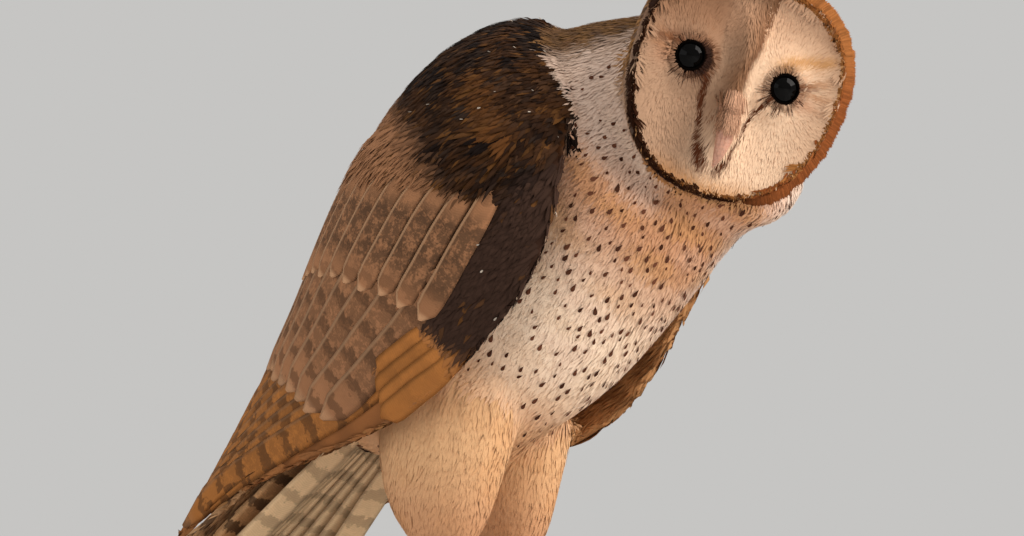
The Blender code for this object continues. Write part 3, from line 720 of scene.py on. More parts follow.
def plumage_material(name, roughness=0.9, sheen=0.0, grain_share=0.16, barbs=0.03):
    """Colour and marks come from the plumage; barbs, bars and spots from each vane.

    The layer "marks" holds the shares of the drop, the pale edge (along one side partly a painted
    highlight), the bars and the mottling, and "place" the place across and along the vane, its
    length in tenths of a metre and a chance."""
    net = Net(name)
    marks = net.attribute("marks")
    drop_share, edge_share, bar_share = net.node('ShaderNodeSeparateColor', {0: marks["Color"]})
    place = net.attribute("place")
    u, t, length = net.node('ShaderNodeSeparateColor', {0: place["Color"]})
    off = net.math('ABSOLUTE', net.math('SUBTRACT', net.mul(u, 2.0), 1.0))
    far = net.mul(t, length)                   # tenths of a metre from the root
    grain, coarse = net.noise(900.0), net.noise(260.0)
    bars = net.ramp(net.math('SINE', net.add(net.mul(far, 42.0), net.mul(coarse, 5.0))),
                    0.15, 0.75)
    mottle = net.mul(net.ramp(t, 0.22, 0.42), net.ramp(t, 0.92, 0.74))
    mottle = net.mul(mottle, net.ramp(net.add(net.mul(coarse, 0.6), net.mul(grain, 0.5)),
                                      0.44, 0.60))
    # pale line along one side and at the tip; the side line is partly a painted highlight of the
    # rounded edge
    edge = net.math('MAXIMUM', net.ramp(u, 0.86, 0.95), net.ramp(t, 0.94, 0.985))
    ahead = net.mul(net.math('SUBTRACT', t, 0.78), 5.0)
    drop = net.ramp(net.add(net.math('POWER', net.mul(off, 1.3), 2.0),
                            net.math('POWER', net.math('ABSOLUTE', ahead), 2.0)), 1.0, 0.6)
    colour = net.attribute("tint")["Color"]
    for share, shape, tone in (
            (bar_share, bars, lin(62, 42, 30)), (marks["Alpha"], mottle, lin(66, 50, 38)),
            (edge_share, edge, lin(212, 164, 124)), (drop_share, drop, lin(48, 28, 20))):
        colour = net.mix(net.mul(shape, share), colour, rgba(tone))
    barb = net.math('SINE', net.add(net.mul(far, 620.0), net.add(
        net.mul(off, 9.0), net.mul(place["Alpha"], 40.0))))
    tone = net.add(net.mul(barb, barbs), net.add(net.mul(grain, grain_share),
                                                 1.0 - 0.5 * grain_share))
    shade = net.node('ShaderNodeCombineColor', {0: tone, 1: tone, 2: tone})[0]
    net.set({"Base Color": net.mix(1.0, colour, shade, 'MULTIPLY'), "Roughness": roughness,
             "Sheen Weight": sheen, "Sheen Roughness": 0.5, "Specular IOR Level": 0.06})
    net.bump(barb, 0.0001, 8.0 * barbs)
    return net.mat


def skin_material(name):
    net = Net(name)
    colour = net.mix(1.0, net.attribute("tint")["Color"], (0.95, 0.90, 0.88, 1.0), 'MULTIPLY')
    net.set({"Base Color": colour, "Roughness": 0.95, "Specular IOR Level": 0.0})
    net.bump(net.noise(1400.0), 0.0003, 0.6)
    return net.mat


PLUMAGE = plumage_material("plumage")
FACE = plumage_material("face_plumage", sheen=0.03, grain_share=0.08, barbs=0.01)
SKIN = skin_material("skin")


# ---- lids
LID_STEPS = 48


def lid(eye, side):
    """Closed ring of lid round an eyeball, with its middle and axes."""
    centre, out = middle_of(eye), eye_way(side)
    right = unit(HEAD_AXES[:, 0] - out * (HEAD_AXES[:, 0] @ out))
    up = np.cross(right, out)
    up *= np.sign(up @ HEAD_AXES[:, 2])
    co, loop = [], []
    for k in range(LID_STEPS):
        psi = 2 * math.pi * k / LID_STEPS
        c, s = math.cos(psi), math.sin(psi)
        opening = 38.5 - (3.0 if s > 0 else 1.0) * s * s - 1.5 * c * side * s
        section = ((96, 8.95), (84, 9.1), (72, 9.3), (60, 9.5), (opening + 6, 9.5),
                   (opening + 1.5, 9.3), (opening, 9.05), (opening + 2.5, 8.85), (66, 8.8),
                   (96, 8.8))          # angle from the eye's axis, and radius
        for theta, r in section:
            theta = math.radians(theta)
            co.append(centre + (out * math.cos(theta) + (right * c + up * s)
                                * math.sin(theta)) * r * MM)
    m = len(section)
    for k in range(LID_STEPS):
        n = (k + 1) % LID_STEPS
        for j in range(m):
            i = (j + 1) % m
            loop.append((k * m + j, k * m + i, n * m + i, n * m + j))
    co, loop = np.array(co), np.array(loop)
    a, b, c = (co[loop[3, x]] for x in range(3))
    if np.cross(b - a, c - a) @ (a - centre) < 0:
        loop = loop[:, ::-1]
    return co, loop, centre, out, right, up


lids = [lid("eye_left", 1.0), lid("eye_right", -1.0)]
skin_tint = [paint(body_co, body_region)]
for co, _, centre, out, _, _ in lids:
    open_way = np.degrees(np.arccos(np.clip(unit(co - centre) @ out, -1, 1)))
    skin_tint.append(mix(lin(7, 5, 4), DARK_BROWN, ramp(open_way, 42.0, 56.0)))
skin_mesh = new_mesh("skin", *join([(body_co, quads)] + [made[:2] for made in lids]))
skin_mesh.uv_layers.new(name="OFBake")
colour_layer(skin_mesh, "tint", np.c_[np.concatenate(skin_tint),
                                      np.ones(len(skin_mesh.vertices))])
skin = add_object("skin", skin_mesh, SKIN)
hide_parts(*SOFT)
bpy.context.view_layer.objects.active = skin
skin.select_set(True)
bpy.ops.object.mode_set(mode='EDIT')
bpy.ops.mesh.select_all(action='SELECT')
bpy.ops.uv.smart_project(angle_limit=math.radians(66.0), island_margin=0.002)
bpy.ops.object.mode_set(mode='OBJECT')
skin.select_set(False)
quad_uv = read(skin_mesh.uv_layers["OFBake"].data, "uv", 2)
quad_uv = quad_uv.reshape(-1, 4, 2)[:len(quads)].astype(float)
tri_uv = np.concatenate([quad_uv[:, [0, 1, 2]], quad_uv[:, [0, 2, 3]]])


# ---- soft plumage
tri_centre = body_co[quad_tri].mean(1)
tri_region = body_region[quad_tri[:, 0]]
tri_head, tri_place = to_head(tri_centre), wing_place(tri_centre)
tri_normal = unit(face_cross(body_co, quad_tri))


def at_faces(tri):
    """Roots in faces of the skin, for the places on its unwrap."""
    return {"tri": tri, "w": np.tile([0.4, 0.3, 0.3], (len(tri), 1))}


def style_of(roots, tint, length):
    count = len(tint)
    return {"tint": tint, "length": length, "marks": np.zeros((count, 4)),
            "chance": RNG.random(count),
            "uv": np.sum(tri_uv[roots["tri"]] * roots["w"][:, :, None], 1)}


def keep(roots, mask):
    return {key: value[mask] for key, value in roots.items()}


def tufts(roots, blades, spread, length, half, sink, rise, wild=9.0, direction=None,
          thick=0.2, tint=None, drift=1.0, streak=None):
    """A fan of fine blades at each root.

    The numbers are the blades in a fan, its half angle, their length, half width, depth of the
    root under the skin, rise of the end over it, and the fans' scatter.  Angles are in degrees.
    `drift` is how far the outer blades' roots stand from the middle, and `streak` is a second
    colour, the share of blades that have it and its least strength."""
    count = len(roots["p"])
    d0 = lie(roots["p"], roots["n"], roots["region"]) if direction is None else direction
    common = RNG.normal(0.0, wild, count) + 10.0 * wave(roots["p"], 18, 11)
    rep = np.repeat(np.arange(count), blades)
    middle = (blades - 1) / 2.0
    across = np.tile(np.arange(blades) - middle, count) / max(middle, 1.0)
    angle = common[rep] + across * spread + RNG.normal(0.0, 5.0, len(rep))
    n = roots["n"][rep]
    d = turned(d0[rep], n, angle)
    side = np.cross(n, d)
    p = roots["p"][rep] + side * (across * drift * MM)[:, None]
    length, half, rise = (np.broadcast_to(x, (count,))[rep] * RNG.uniform(*span, len(rep))
                          for x, span in ((length, (0.78, 1.12)), (half, (0.8, 1.2)),
                                             (rise, (0.7, 1.15))))
    length = length * (1 - 0.12 * np.abs(across))
    if tint is None:
        tint = paint(roots["p"] + d0 * (length[::blades, None] * 0.6 * MM), roots["region"])
    tone = RNG.uniform(0.97, 1.03, (count, 1))[rep] * RNG.uniform(0.98, 1.02, (len(rep), 1))
    if streak is not None:
        other, share, least = streak
        strength = RNG.uniform(least, 1.0, len(rep)) * (RNG.random(len(rep)) < share)
        tone = tone * RNG.uniform(0.9, 1.1, (len(rep), 1))
    style = style_of(roots, tint, length)
    colour = tint[rep] if streak is None else mix(tint[rep], other, strength)
    style = {"tint": colour * tone, "length": length, "marks": style["marks"][rep],
             "chance": style["chance"][rep], "uv": style["uv"][rep]}

    def agreement(length):
        """How far the skin at a blade's end faces the way it does at its root."""
        return np.sum(on_skin(p + d * (length * MM)[:, None])[1] * n, 1)

    # at a thin edge a blade is shorter, or left out
    length = np.where(agreement(length) > 0.2, length, 0.45 * length)
    on = np.where(agreement(length) > 0.1)[0]
    made = vanes(p[on], d[on], n[on], length[on], half[on], sink, rise[on], thick, ROWS_BLADE,
                 SECTION_BLADE)
    return (*made, keep(style, on))


def from_eyes(h):
    """Distance from the nearer eye's middle, across the disc."""
    return np.hypot(np.abs(h[:, 0]) - EYE_HALF_SPACING, h[:, 2])


reach_tri = disc_reach(tri_head)
disc_tri = (tri_region == HEAD) & (reach_tri < rim_start(tri_head) + 0.01) & (
    tri_head[:, 1] > -11.0)
head_back = (tri_region == HEAD) & ~disc_tri
ventral = (tri_region == TRUNK) & (tri_place[2] < 34.0)
dorsal = (tri_region == TRUNK) & ~ventral

roots = scatter(disc_tri, 1.05)
roots = keep(roots, from_eyes(to_head(roots["p"])) > 7.2)
h = to_head(roots["p"])
length = 2.6 + 0.14 * np.clip(from_eyes(h), 0, 26)
length += 2.5 * bell(h[:, 0], 8.0) * ramp(-h[:, 2], 12, 24)
rise = 0.35 + 0.1 * ramp(from_eyes(h), 10, 26) + 0.35 * bell(h[:, 0], 8.0)
face_tint = paint(roots["p"], roots["region"])
fine = tufts(roots, 2, 8.0, length, 0.4, 0.3, rise, 4.0, tint=face_tint, thick=0.08, drift=0.4)
coat_piece("face_plumage", [fine], FACE, 0.9)

nape = tufts(scatter(head_back, 2.6), 6, 16.0, 8.5, 0.62, 0.5, 1.5, 6.0, thick=0.12)
coat_piece("crown_plumage", [nape], PLUMAGE)

neck = tufts(scatter(tri_region == NECK, 2.85), 7, 16.0, 11.0, 0.62, 0.5, 1.5, 5.0, thick=0.12)
coat_piece("neck_plumage", [neck], PLUMAGE, 0.9)

roots = scatter(ventral, 3.0)
split_at = to_trunk(roots["p"])[:, 1] > 5.0
breast = tufts(keep(roots, split_at), 8, 16.0, 12.0, 0.66, 0.5, 1.2, 4.0, thick=0.08)
coat_piece("breast_plumage", [breast], PLUMAGE, 0.94)
belly = tufts(keep(roots, ~split_at), 8, 16.0, 13.0, 0.72, 0.5, 1.2, 4.0, thick=0.08)
coat_piece("belly_plumage", [belly], PLUMAGE, 0.94)

thigh = tufts(scatter(tri_region == THIGH, 3.2), 7, 16.0, 14.0, 1.0, 0.5, 0.9, 5.0, thick=0.08)
shank = tufts(scatter(tri_region == TARSUS, 2.2), 4, 16.0, 6.0, 0.7, 0.4, 1.6)
roots = scatter((tri_region == FOOT) & (tri_normal[:, 2] > 0.25), 2.6)
bristle = tufts(roots, 2, 14.0, 3.2, 0.22, 0.2, 1.0, thick=0.2,
                tint=np.tile(lin(206, 182, 156), (len(roots["p"]), 1)))
coat_piece("leg_plumage", [thigh, shank, bristle], PLUMAGE, 0.9)


# ---- places on the folded wings
ALONGS = np.arange(88.0, -200.0, -4.0)
SHIFT = np.interp(-ALONGS, (28.0, 81.0, 122.0, 162.0, 200.0), (8.0, 12.0, 20.0, 30.0, 42.0))
STEPS = 25
WING_ANGLES = np.arange(-62.0, 96.0, 1.5)
RAY_START, RAY_LENGTH = 150.0, 149.0       # from outside towards the wing arcs' centre
CORE_RISE = 8.0                            # line inside both wings, above the trunk's axis


def core(along):
    """Points inside the wings, from which their outside faces away."""
    return from_trunk(np.c_[np.zeros(len(along)), along, np.full(len(along), CORE_RISE)])


def wing_grid(side):
    """Grid of points over the outside of a folded wing: along it, and from its lower edge up."""
    tree = tree_of(*join([node_mesh(f"wing_{side}_{part}") for part in ("arm", "hand")]))
    sign = 1.0 if side == "left" else -1.0
    grid, kept = [], []
    for a, shift in zip(ALONGS, SHIFT):
        rows = []
        for angle in WING_ANGLES:
            c, s = math.cos(math.radians(angle)), math.sin(math.radians(angle))
            outer = from_trunk((sign * RAY_START * c, a, shift + RAY_START * s))
            way = unit(from_trunk((0.0, a, shift)) - outer)
            hit = tree.ray_cast(outer, way, RAY_LENGTH * MM)
            if hit[0] is not None:
                rows.append((angle, *hit[0]))
        if len(rows) > 2:
            rows = np.array(rows)
            want = np.linspace(rows[0, 0], rows[-1, 0], STEPS)
            grid.append(np.stack([np.interp(want, rows[:, 0], rows[:, k])
                                  for k in (1, 2, 3)], 1))
            kept.append((a, rows[0, 0], rows[-1, 0]))
    grid, kept = np.array(grid), np.array(kept)
    for _ in range(6):
        grid[1:-1] = grid[1:-1] * 0.5 + (grid[:-2] + grid[2:]) * 0.25
        grid[:, 1:-1] = grid[:, 1:-1] * 0.5 + (grid[:, :-2] + grid[:, 2:]) * 0.25
    normal = unit(np.cross(np.gradient(grid, axis=0), np.gradient(grid, axis=1)))
    normal *= np.sign(np.sum(normal * (grid - core(kept[:, 0])[:, None]), 2, keepdims=True))
    return grid, normal, kept


def on_wing(wing, a, v):
    """Point and normal on a wing at places along the spine and across the wing."""
    grid, normal, kept = wing
    i = np.interp(-a, -kept[:, 0], np.arange(len(kept)))
    j = np.clip(v, 0.0, 1.0) * (STEPS - 1)
    i0, j0 = np.minimum(i.astype(int), len(kept) - 2), np.minimum(j.astype(int), STEPS - 2)
    fi, fj = (i - i0)[:, None], (j - j0)[:, None]
    out = []
    for g in (grid, normal):
        out.append((g[i0, j0] * (1 - fj) + g[i0, j0 + 1] * fj) * (1 - fi)
                   + (g[i0 + 1, j0] * (1 - fj) + g[i0 + 1, j0 + 1] * fj) * fi)
    return out[0], unit(out[1])


def wing_of(wing, p):
    """Nearest place on a wing's grid: along the spine and across the wing."""
    grid, _, kept = wing
    tree = point_tree(grid.reshape(-1, 3))
    near = np.array([tree.find(q)[1] for q in p])
    return kept[near // STEPS, 0], (near % STEPS) / (STEPS - 1)


WINGS = {side: wing_grid(side) for side in ("left", "right")}


# ---- firm plumes of back and wings
COVERT_ROOTS = ((46, -34), (0.19, 0.98))   # first and last: along the spine, across the wing
outward = np.sum(tri_normal * (tri_centre - core(tri_place[1])), 1)
back_tri = dorsal | (tri_region == TAIL) | ((tri_region == HAND) & (outward <= 0.004))
rump = tufts(scatter(back_tri, 3.9), 4, 12.0, 15.0, 1.5, 0.5, 1.4, 6.0, thick=0.15,
             streak=(lin(150, 104, 62), 0.2, 0.1))
coat_piece("rump_plumage", [rump], PLUMAGE, 0.6)
for name, sign in (("left", 1.0), ("right", -1.0)):
    roots = scatter((tri_region == WING) & (tri_place[0] * sign > 0), 2.9)
    along, v = wing_of(WINGS[name], roots["p"])
    tuft_out = np.sum(roots["n"] * (roots["p"] - core(along)), 1)
    # nothing shows behind the line on which the coverts' roots lie
    (top_a, end_a), (top_v, end_v) = COVERT_ROOTS
    front = along - (top_a + (end_a - top_a) * (v - top_v) / (end_v - top_v))
    hidden = (front < -16.0) & (v > 0.20) & (tuft_out > 0.0)
    roots, along, v, front = keep(roots, ~hidden), along[~hidden], v[~hidden], front[~hidden]
    over = band(front, -8.0, 0.0, 12.0, 22.0) * ramp(v, 0.16, 0.22)
    _, _, angle = wing_place(roots["p"])
    plain = ramp(-angle, 14.0, 22.0) > 0.5
    light = lin(98, 63, 31) if sign < 0 else lin(136, 96, 58)
    parts = []
    for part, share in ((~plain, 0.13), (plain, 0.03)):
        parts.append(tufts(keep(roots, part), 4, 10.0, (15.0 + 4.0 * over)[part], 1.35, 0.5,
                           (1.7 + 2.4 * over)[part], 5.0, thick=0.15,
                           streak=(light, share, 0.1)))
    coat_piece(f"mantle_{name}", parts, PLUMAGE, 0.6 if sign < 0 else 0.5)
roots = scatter((tri_region == WING) & (tri_place[1] > -30.0) & (outward > 0.0), 11.0, 0.8)
roots = keep(roots, RNG.random(len(roots["p"])) < 0.4)
count = len(roots["p"])
size = RNG.uniform(0.35, 0.8, count)
style = style_of(roots, lin(190, 176, 160) * RNG.uniform(0.7, 1.1, (count, 1)), 4.0 * size)
specks = (*vanes(roots["p"], lie(roots["p"], roots["n"], roots["region"]), roots["n"],
                 3.2 * size, 0.75 * size, -1.2, 2.4, 0.25,
                 ((0.3, 0.7), (0.75, 1.0)), SECTION_PLUME), style)
coat_piece("mantle_flecks", [specks], PLUMAGE)


# ---- long feathers
QUILL_ROWS = 14
QUILL_ROOT = 0.75                          # half width at the root, as a share of the widest
QUILL_SECTION = ((-1.0, -0.1), (-0.55, 0.12), (0.0, 0.26), (0.55, 0.12), (1.0, -0.1), (0.5, -0.12),
                 (0.0, -0.1), (-0.5, -0.12))


def quill(path, half, layer, tilt):
    """Closed long feather over a path of (point, normal); half width and layer in mm."""
    points, normals = path
    t = np.linspace(0.0, 1.0, QUILL_ROWS)
    shape = (QUILL_ROOT + (1 - QUILL_ROOT) * ramp(t, 0.0, 0.45)) * np.sqrt(
        np.clip(1 - np.clip((t - 0.86) / 0.14, 0, 1) ** 2, 0.02, 1))
    side = unit(np.cross(unit(np.gradient(points, axis=0)), normals))
    rise = ramp(t, 0.0, 0.3)
    m = len(QUILL_SECTION)
    co, tri = [], []
    for k in range(QUILL_ROWS):
        for x, z in QUILL_SECTION:
            height = layer * rise[k] + tilt * x + z + 0.5 * t[k] - 1.4 * (1 - rise[k])
            co.append(points[k] + side[k] * half * shape[k] * x * MM + normals[k] * height * MM)
    for k in range(QUILL_ROWS - 1):
        for j in range(m):
            i = (j + 1) % m
            a, b = k * m, (k + 1) * m
            tri += [(a + j, b + j, b + i), (a + j, b + i, a + i)]
    end = (QUILL_ROWS - 1) * m
    for j in range(1, m - 1):
        tri += [(0, j, j + 1), (end, end + j + 1, end + j)]
    across = 0.5 + 0.5 * np.array([x for x, _ in QUILL_SECTION])
    return np.array(co), np.array(tri), np.tile(across, QUILL_ROWS), np.repeat(t, m)


def quill_piece(name, quills):
    """Long feathers as one object; each has an island of its own."""
    pieces, tint, marks, place, uv = [], [], [], [], []
    columns = int(math.ceil(math.sqrt(len(quills) * 2.0)))
    rows = int(math.ceil(len(quills) / columns))
    for k, (v, f, u, t, colour, mark, length) in enumerate(quills):
        pieces.append((v, f))
        chance = RNG.random()
        tint.append(np.tile((*colour, chance), (len(v), 1)))
        marks.append(np.tile(mark, (len(v), 1)))
        place.append(np.c_[u, t, np.tile((length / 100.0, chance), (len(v), 1))])
        uv.append(np.c_[(k % columns + 0.08 + 0.84 * u) / columns,
                        (k // columns + 0.04 + 0.92 * t) / rows][f.ravel()])
    dressed(name, PLUMAGE, pieces, tint, marks, place, uv)


def row_of(wing, count, a0, a1, v0, v1, half, layer, tilt, colour, mark):
    """A row of long feathers; a0, a1, v0, v1 are (first, last) at the root and the end."""
    made = []
    s = np.linspace(0.0, 1.0, QUILL_ROWS)
    for k in range(count):
        f = k / (count - 1)
        start_a, end_a, start_v, end_v, w = (first + (last - first) * f for first, last in
                                             (a0, a1, v0, v1, half))
        start_a += RNG.normal(0, 1.0)
        end_a += RNG.normal(0, 1.6)
        c = colour * RNG.uniform(0.86, 1.1)
        path = on_wing(wing, start_a + (end_a - start_a) * s, start_v + (end_v - start_v) * s)
        made.append((*quill(path, w, layer + 0.05 * k, tilt), c, mark, start_a - end_a))
    return made


# golden or not, number, places along (root, end) and across (root, end) the wing for the first
# and last feather, their half widths, height over the skin, tilt, and the shares of the marks
FEATHER_ROWS = (
    (True, 10, (-2, -60), (-196, -120), (0.08, 0.30), (0.2, 0.85), (6.5, 6.0), 0.2, 1.0,
     (0.0, 0.2, 0.6, 0.3)),
    (False, 12, (34, -52), (-96, -112), (0.185, 0.98), (0.15, 0.95), (7.6, 8.4), 1.0, 1.0,
     (0.0, 0.6, 0.5, 0.45)),
    (False, 14, COVERT_ROOTS[0], (-22, -84), COVERT_ROOTS[1], (0.15, 0.97), (5.6, 6.4), 1.7, 1.0,
     (0.0, 0.8, 0.3, 0.7)),
    (True, 4, (-27, -24), (-70, -58), (0.03, 0.12), (0.025, 0.135), (5.6, 5.8), 1.2, 1.8,
     (0.0, 0.0, 0.1, 0.1)))
for side, tilt, rich in (("right", 0.6, GOLD), ("left", -0.6, lin(160, 112, 70))):
    quills = []
    for golden, count, *places, layer, lean, mark in FEATHER_ROWS:
        quills += row_of(WINGS[side], count, *places, layer, lean * tilt,
                         rich if golden else COVERT, mark)
    quill_piece(f"quills_{side}", quills)

# ---- tail feathers
TAIL_FEATHERS, TAIL_LENGTH, TAIL_RAKE = 12, 116.0, math.radians(6.0)
TAIL_HALF, TAIL_DEPTH = 8.0, 8.8           # a feather's half width; between both sides
tail_way = unit(TRUNK_AXES @ np.array((0.0, -math.cos(TAIL_RAKE), math.sin(TAIL_RAKE))))
tail_up = unit(TRUNK_AXES @ np.array((0.0, math.sin(TAIL_RAKE), math.cos(TAIL_RAKE))))
tail_root = from_trunk((0.0, -82.0, 17.0))
quills = []
s = np.linspace(0.0, 1.0, QUILL_ROWS)
for f in np.arange(TAIL_FEATHERS) - (TAIL_FEATHERS - 1) / 2.0:
    length = TAIL_LENGTH - 0.35 * f * f
    across = f * (2.6 + 2.9 * s)
    points = (tail_root + tail_way * (s * length * MM)[:, None] + TRUNK_AXES[:, 0]
              * (across * MM)[:, None] + tail_up * ((4.4 - 0.02 * across ** 2) * MM)[:, None])
    normals = np.tile(tail_up, (QUILL_ROWS, 1))
    layer = 0.3 * (TAIL_FEATHERS / 2 - abs(f))
    for path, colour, mark in (        # upper and under side of the tail
            ((points, normals), lin(196, 150, 106), (0.0, 0.3, 0.8, 0.3)),
            ((points - tail_up * TAIL_DEPTH * MM, -normals), lin(226, 192, 150),
             (0.0, 0.2, 0.35, 0.1))):
        quills.append((*quill(path, TAIL_HALF, layer, 0.0), colour, mark, length))
quill_piece("quills_tail", quills)

# ---- dark drops of the underparts
roots = scatter(np.isin(tri_region, (NECK, TRUNK)) & (tri_place[2] < 20.0), 5.1, 0.8)
along = to_trunk(roots["p"])[:, 1]
h = to_head(roots["p"])
low = ramp(-along, -60.0, 60.0)
near_head = ramp(-h[:, 2], 34.0, 50.0)
roots = keep(roots, RNG.random(len(along)) < (0.92 - 0.5 * low) * (0.35 + 0.65 * near_head)
             * (1 - 0.6 * ramp(h[:, 0], 12.0, 34.0)))
count = len(roots["p"])
d = turned(lie(roots["p"], roots["n"], roots["region"]), roots["n"], RNG.normal(0, 16.0, count))
size = RNG.uniform(0.6, 1.3, count)
style = style_of(roots, lin(72, 42, 29) * RNG.uniform(0.7, 2.2, (count, 1)), 3.2 * size)
drops = (*vanes(roots["p"], d, roots["n"], 3.2 * size, 0.85 * size, -1.0, 1.9, 0.2,
                ((0.25, 0.35), (0.62, 0.95), (0.86, 0.8)), SECTION_PLUME), style)
coat_piece("breast_drops", [drops], PLUMAGE)

# ---- ruff round the facial disc
rim_tri = (tri_region == HEAD) & (reach_tri > rim_start(tri_head) + 0.006) & (
    tri_head[:, 1] > -9.0 - 5.0 * rim_left(tri_head))
roots = scatter(rim_tri, 1.0)
h = to_head(roots["p"])
out = flat_on(np.c_[h[:, 0], np.full(len(h), -14.0), h[:, 2] - DISC_UP] @ HEAD_AXES.T,
              roots["n"])
left = rim_left(h)
base = rim_colour(h) * RNG.uniform(0.85, 1.15, (len(h), 1))
base = np.where((RNG.random(len(h)) < 0.1 * left)[:, None], lin(196, 146, 98), base)
sets = [tufts(roots, 2, 10.0, 3.4 + 1.2 * left, 0.42, 0.3, 1.0 + 0.5 * left, 5.0, direction=out,
              thick=0.12, tint=base, drift=0.4)]
# reach, place behind the disc, length, half width, rise and step of each row
RUFF_ROWS = ((0.945, 0.4, 5.0, 0.4, 0.9, 0.34), (0.965, 0.8, 5.2, 0.42, 1.0, 0.32),
             (0.985, 1.6, 5.4, 0.5, 1.1, 0.32), (1.0, 3.2, 5.8, 0.6, 1.2, 0.34))
RUFF_RADIUS = 48.0
for scale, back, length, half, rise, step in RUFF_ROWS:
    count = int(2 * math.pi * RUFF_RADIUS / step)
    a = (np.arange(count) + RNG.uniform(-0.4, 0.4, count)) * 2 * math.pi / count
    power = 2.0 / DISC_POWER
    x = DISC_HALF_WIDTH * np.sign(np.cos(a)) * np.abs(np.cos(a)) ** power
    z = np.where(np.sin(a) > 0, DISC_RISE, DISC_DROP) * np.sign(np.sin(a)) * np.abs(
        np.sin(a)) ** power
    z -= np.where(np.sin(a) > 0, 5.0 * bell(x, 9.0), 0.0)
    want = np.c_[x * scale, 7.0 - back - 0.12 * np.clip(z, 0, None), z * scale + DISC_UP]
    p, n, tri = on_skin(from_head(want))
    for _ in range(10):                    # an even line, where the skin has steps
        p = 0.5 * p + 0.25 * (np.roll(p, 1, 0) + np.roll(p, -1, 0))
    h = to_head(p)
    left = rim_left(h)
    keep_it = (scale > 0.96) | (left > 0.5) | (h[:, 2] < -16.0)
    keep_it &= disc_reach(h) > rim_start(h) - 0.02
    for part, standing in (((left < 0.5) & keep_it, False), ((left >= 0.5) & keep_it, True)):
        many = int(part.sum())
        if not many:
            continue
        outer = unit(np.c_[x[part], np.zeros(many), z[part]])
        if standing:       # the golden side stands out past the head's outline
            up = unit(outer * 0.5 + np.array((0.0, 1.0, 0.0))) @ HEAD_AXES.T
            way = (outer - np.array((0.0, 0.42 + 0.05 * back, 0.0))) @ HEAD_AXES.T
        else:
            up = n[part]
            way = (outer - np.array((0.0, 0.4 + 0.14 * back, 0.0))) @ HEAD_AXES.T
        d = flat_on(way, up)
        ends = to_head(p[part] + d * (0.5 * length * MM))
        base = rim_colour(ends) * RNG.uniform(*((0.7, 1.2) if standing else (0.9, 1.1)),
                                              (many, 1))
        pale = RNG.random(many) < (0.0 if standing else 0.05) * ramp(-h[part, 2], 24, 40)
        base[pale] = lin(192, 140, 92)
        lengths = length * RNG.uniform(0.88, 1.04, many)
        if standing:
            lengths *= 0.35 + 0.65 * ramp(left[part], 0.5, 1.0)
        style = style_of(at_faces(tri[part]), base, lengths)
        sets.append((*vanes(p[part], turned(d, up, RNG.normal(0, 2, many)), up, lengths, half, 0.5,
                            rise * RNG.uniform(0.8, 1.2, many) * (0.5 if standing else 1.0), 0.15,
                            ((0.25, 0.9), (0.75, 0.66)), SECTION_BLADE, not standing), style))
coat_piece("ruff", sets, PLUMAGE, 0.7)

# ---- lids' and bill's fine feathers
LID_FEATHERS, LID_SURFACE, BILL_TRIES = 900, 9.35, 1100
sets = []
for _, _, centre, out, right, up in lids:
    count = LID_FEATHERS
    psi = RNG.uniform(0, 2 * math.pi, count)
    theta = np.radians(RNG.uniform(41.0, 66.0, count))
    radial = right * np.cos(psi)[:, None] + up * np.sin(psi)[:, None]
    n = out * np.cos(theta)[:, None] + radial * np.sin(theta)[:, None]
    p = centre + n * LID_SURFACE * MM
    d = unit(radial - out * 0.32)
    n = flat_on(n, d)
    lengths = RNG.uniform(1.8, 3.8, count)
    base = paint_face(to_head(p + d * (0.6 * lengths * MM)[:, None]))
    lash = (RNG.random(count) < 0.1) & (np.sin(psi) < -0.2)
    base[lash], lengths[lash] = lin(60, 34, 24), 6.0
    style = style_of(at_faces(on_skin(p)[2]), base * RNG.uniform(0.8, 1.1, (count, 1)), lengths)
    sets.append((*vanes(p, turned(d, n, RNG.normal(0, 9, count)), n, lengths,
                        np.where(lash, 0.14, 0.26), 0.12,
                        np.where(lash, 1.4, RNG.uniform(0.1, 0.6, count)), 0.08, ROWS_BLADE,
                        SECTION_BLADE, False), style))
bill_co, bill_tri = node_mesh("bill_upper")
bill_tree = tree_of(bill_co, bill_tri)
bill_top = to_head(bill_co)[:, 2].max()
back_way = Vector(-HEAD_AXES[:, 1])
found = []
for _ in range(BILL_TRIES):                # places on the bill or the skin, seen from the front
    z = bill_top + RNG.uniform(-8.0, 7.5)
    ahead = Vector(from_head((RNG.normal(0.0, 2.3), 40.0, z)))
    hits = [tree.ray_cast(ahead, back_way, 0.08) for tree in (bill_tree, body_tree)]
    hits = [hit for hit in hits if hit[0] is not None]
    if hits:
        found.append(min(hits, key=lambda hit: hit[3]))
p, n = (np.array([hit[k] for hit in found]) for k in (0, 1))
count = len(p)
h = to_head(p)
way = np.c_[-0.03 * h[:, 0], np.full(count, 0.12), np.full(count, -1.0)] @ HEAD_AXES.T
d = flat_on(way, n)
lengths = RNG.uniform(4.5, 8.5, count) * (1 - 0.35 * ramp(bill_top - h[:, 2], 6.0, 13.0))
above = h[:, 2] > bill_top - 0.5
goal = np.c_[0.85 * h[:, 0], 12.3 - 0.42 * np.abs(h[:, 0]),
             bill_top + RNG.uniform(-3.5, -1.5, count)]
reach_out = np.linalg.norm(goal - h, axis=1)
d = np.where(above[:, None], unit((goal - h) @ HEAD_AXES.T), d)
lengths = np.where(above, reach_out + RNG.uniform(0.5, 2.5, count), lengths)
n = unit(np.where(above[:, None], HEAD_AXES[:, 1], n))
n = flat_on(n, d)
# bristles darker on the bird's right are painted shade of the ridge's shaded side; the darker
# outer ones at random are tone
base = mix(lin(198, 152, 122), lin(132, 92, 66),
           np.clip(ramp(-h[:, 0], 0.0, 3.5) * 0.7 + 0.5 * RNG.random(count) * ramp(
               np.abs(h[:, 0]), 2.5, 5.5), 0, 1))
style = style_of(at_faces(on_skin(p)[2]), base * RNG.uniform(0.8, 1.08, (count, 1)), lengths)
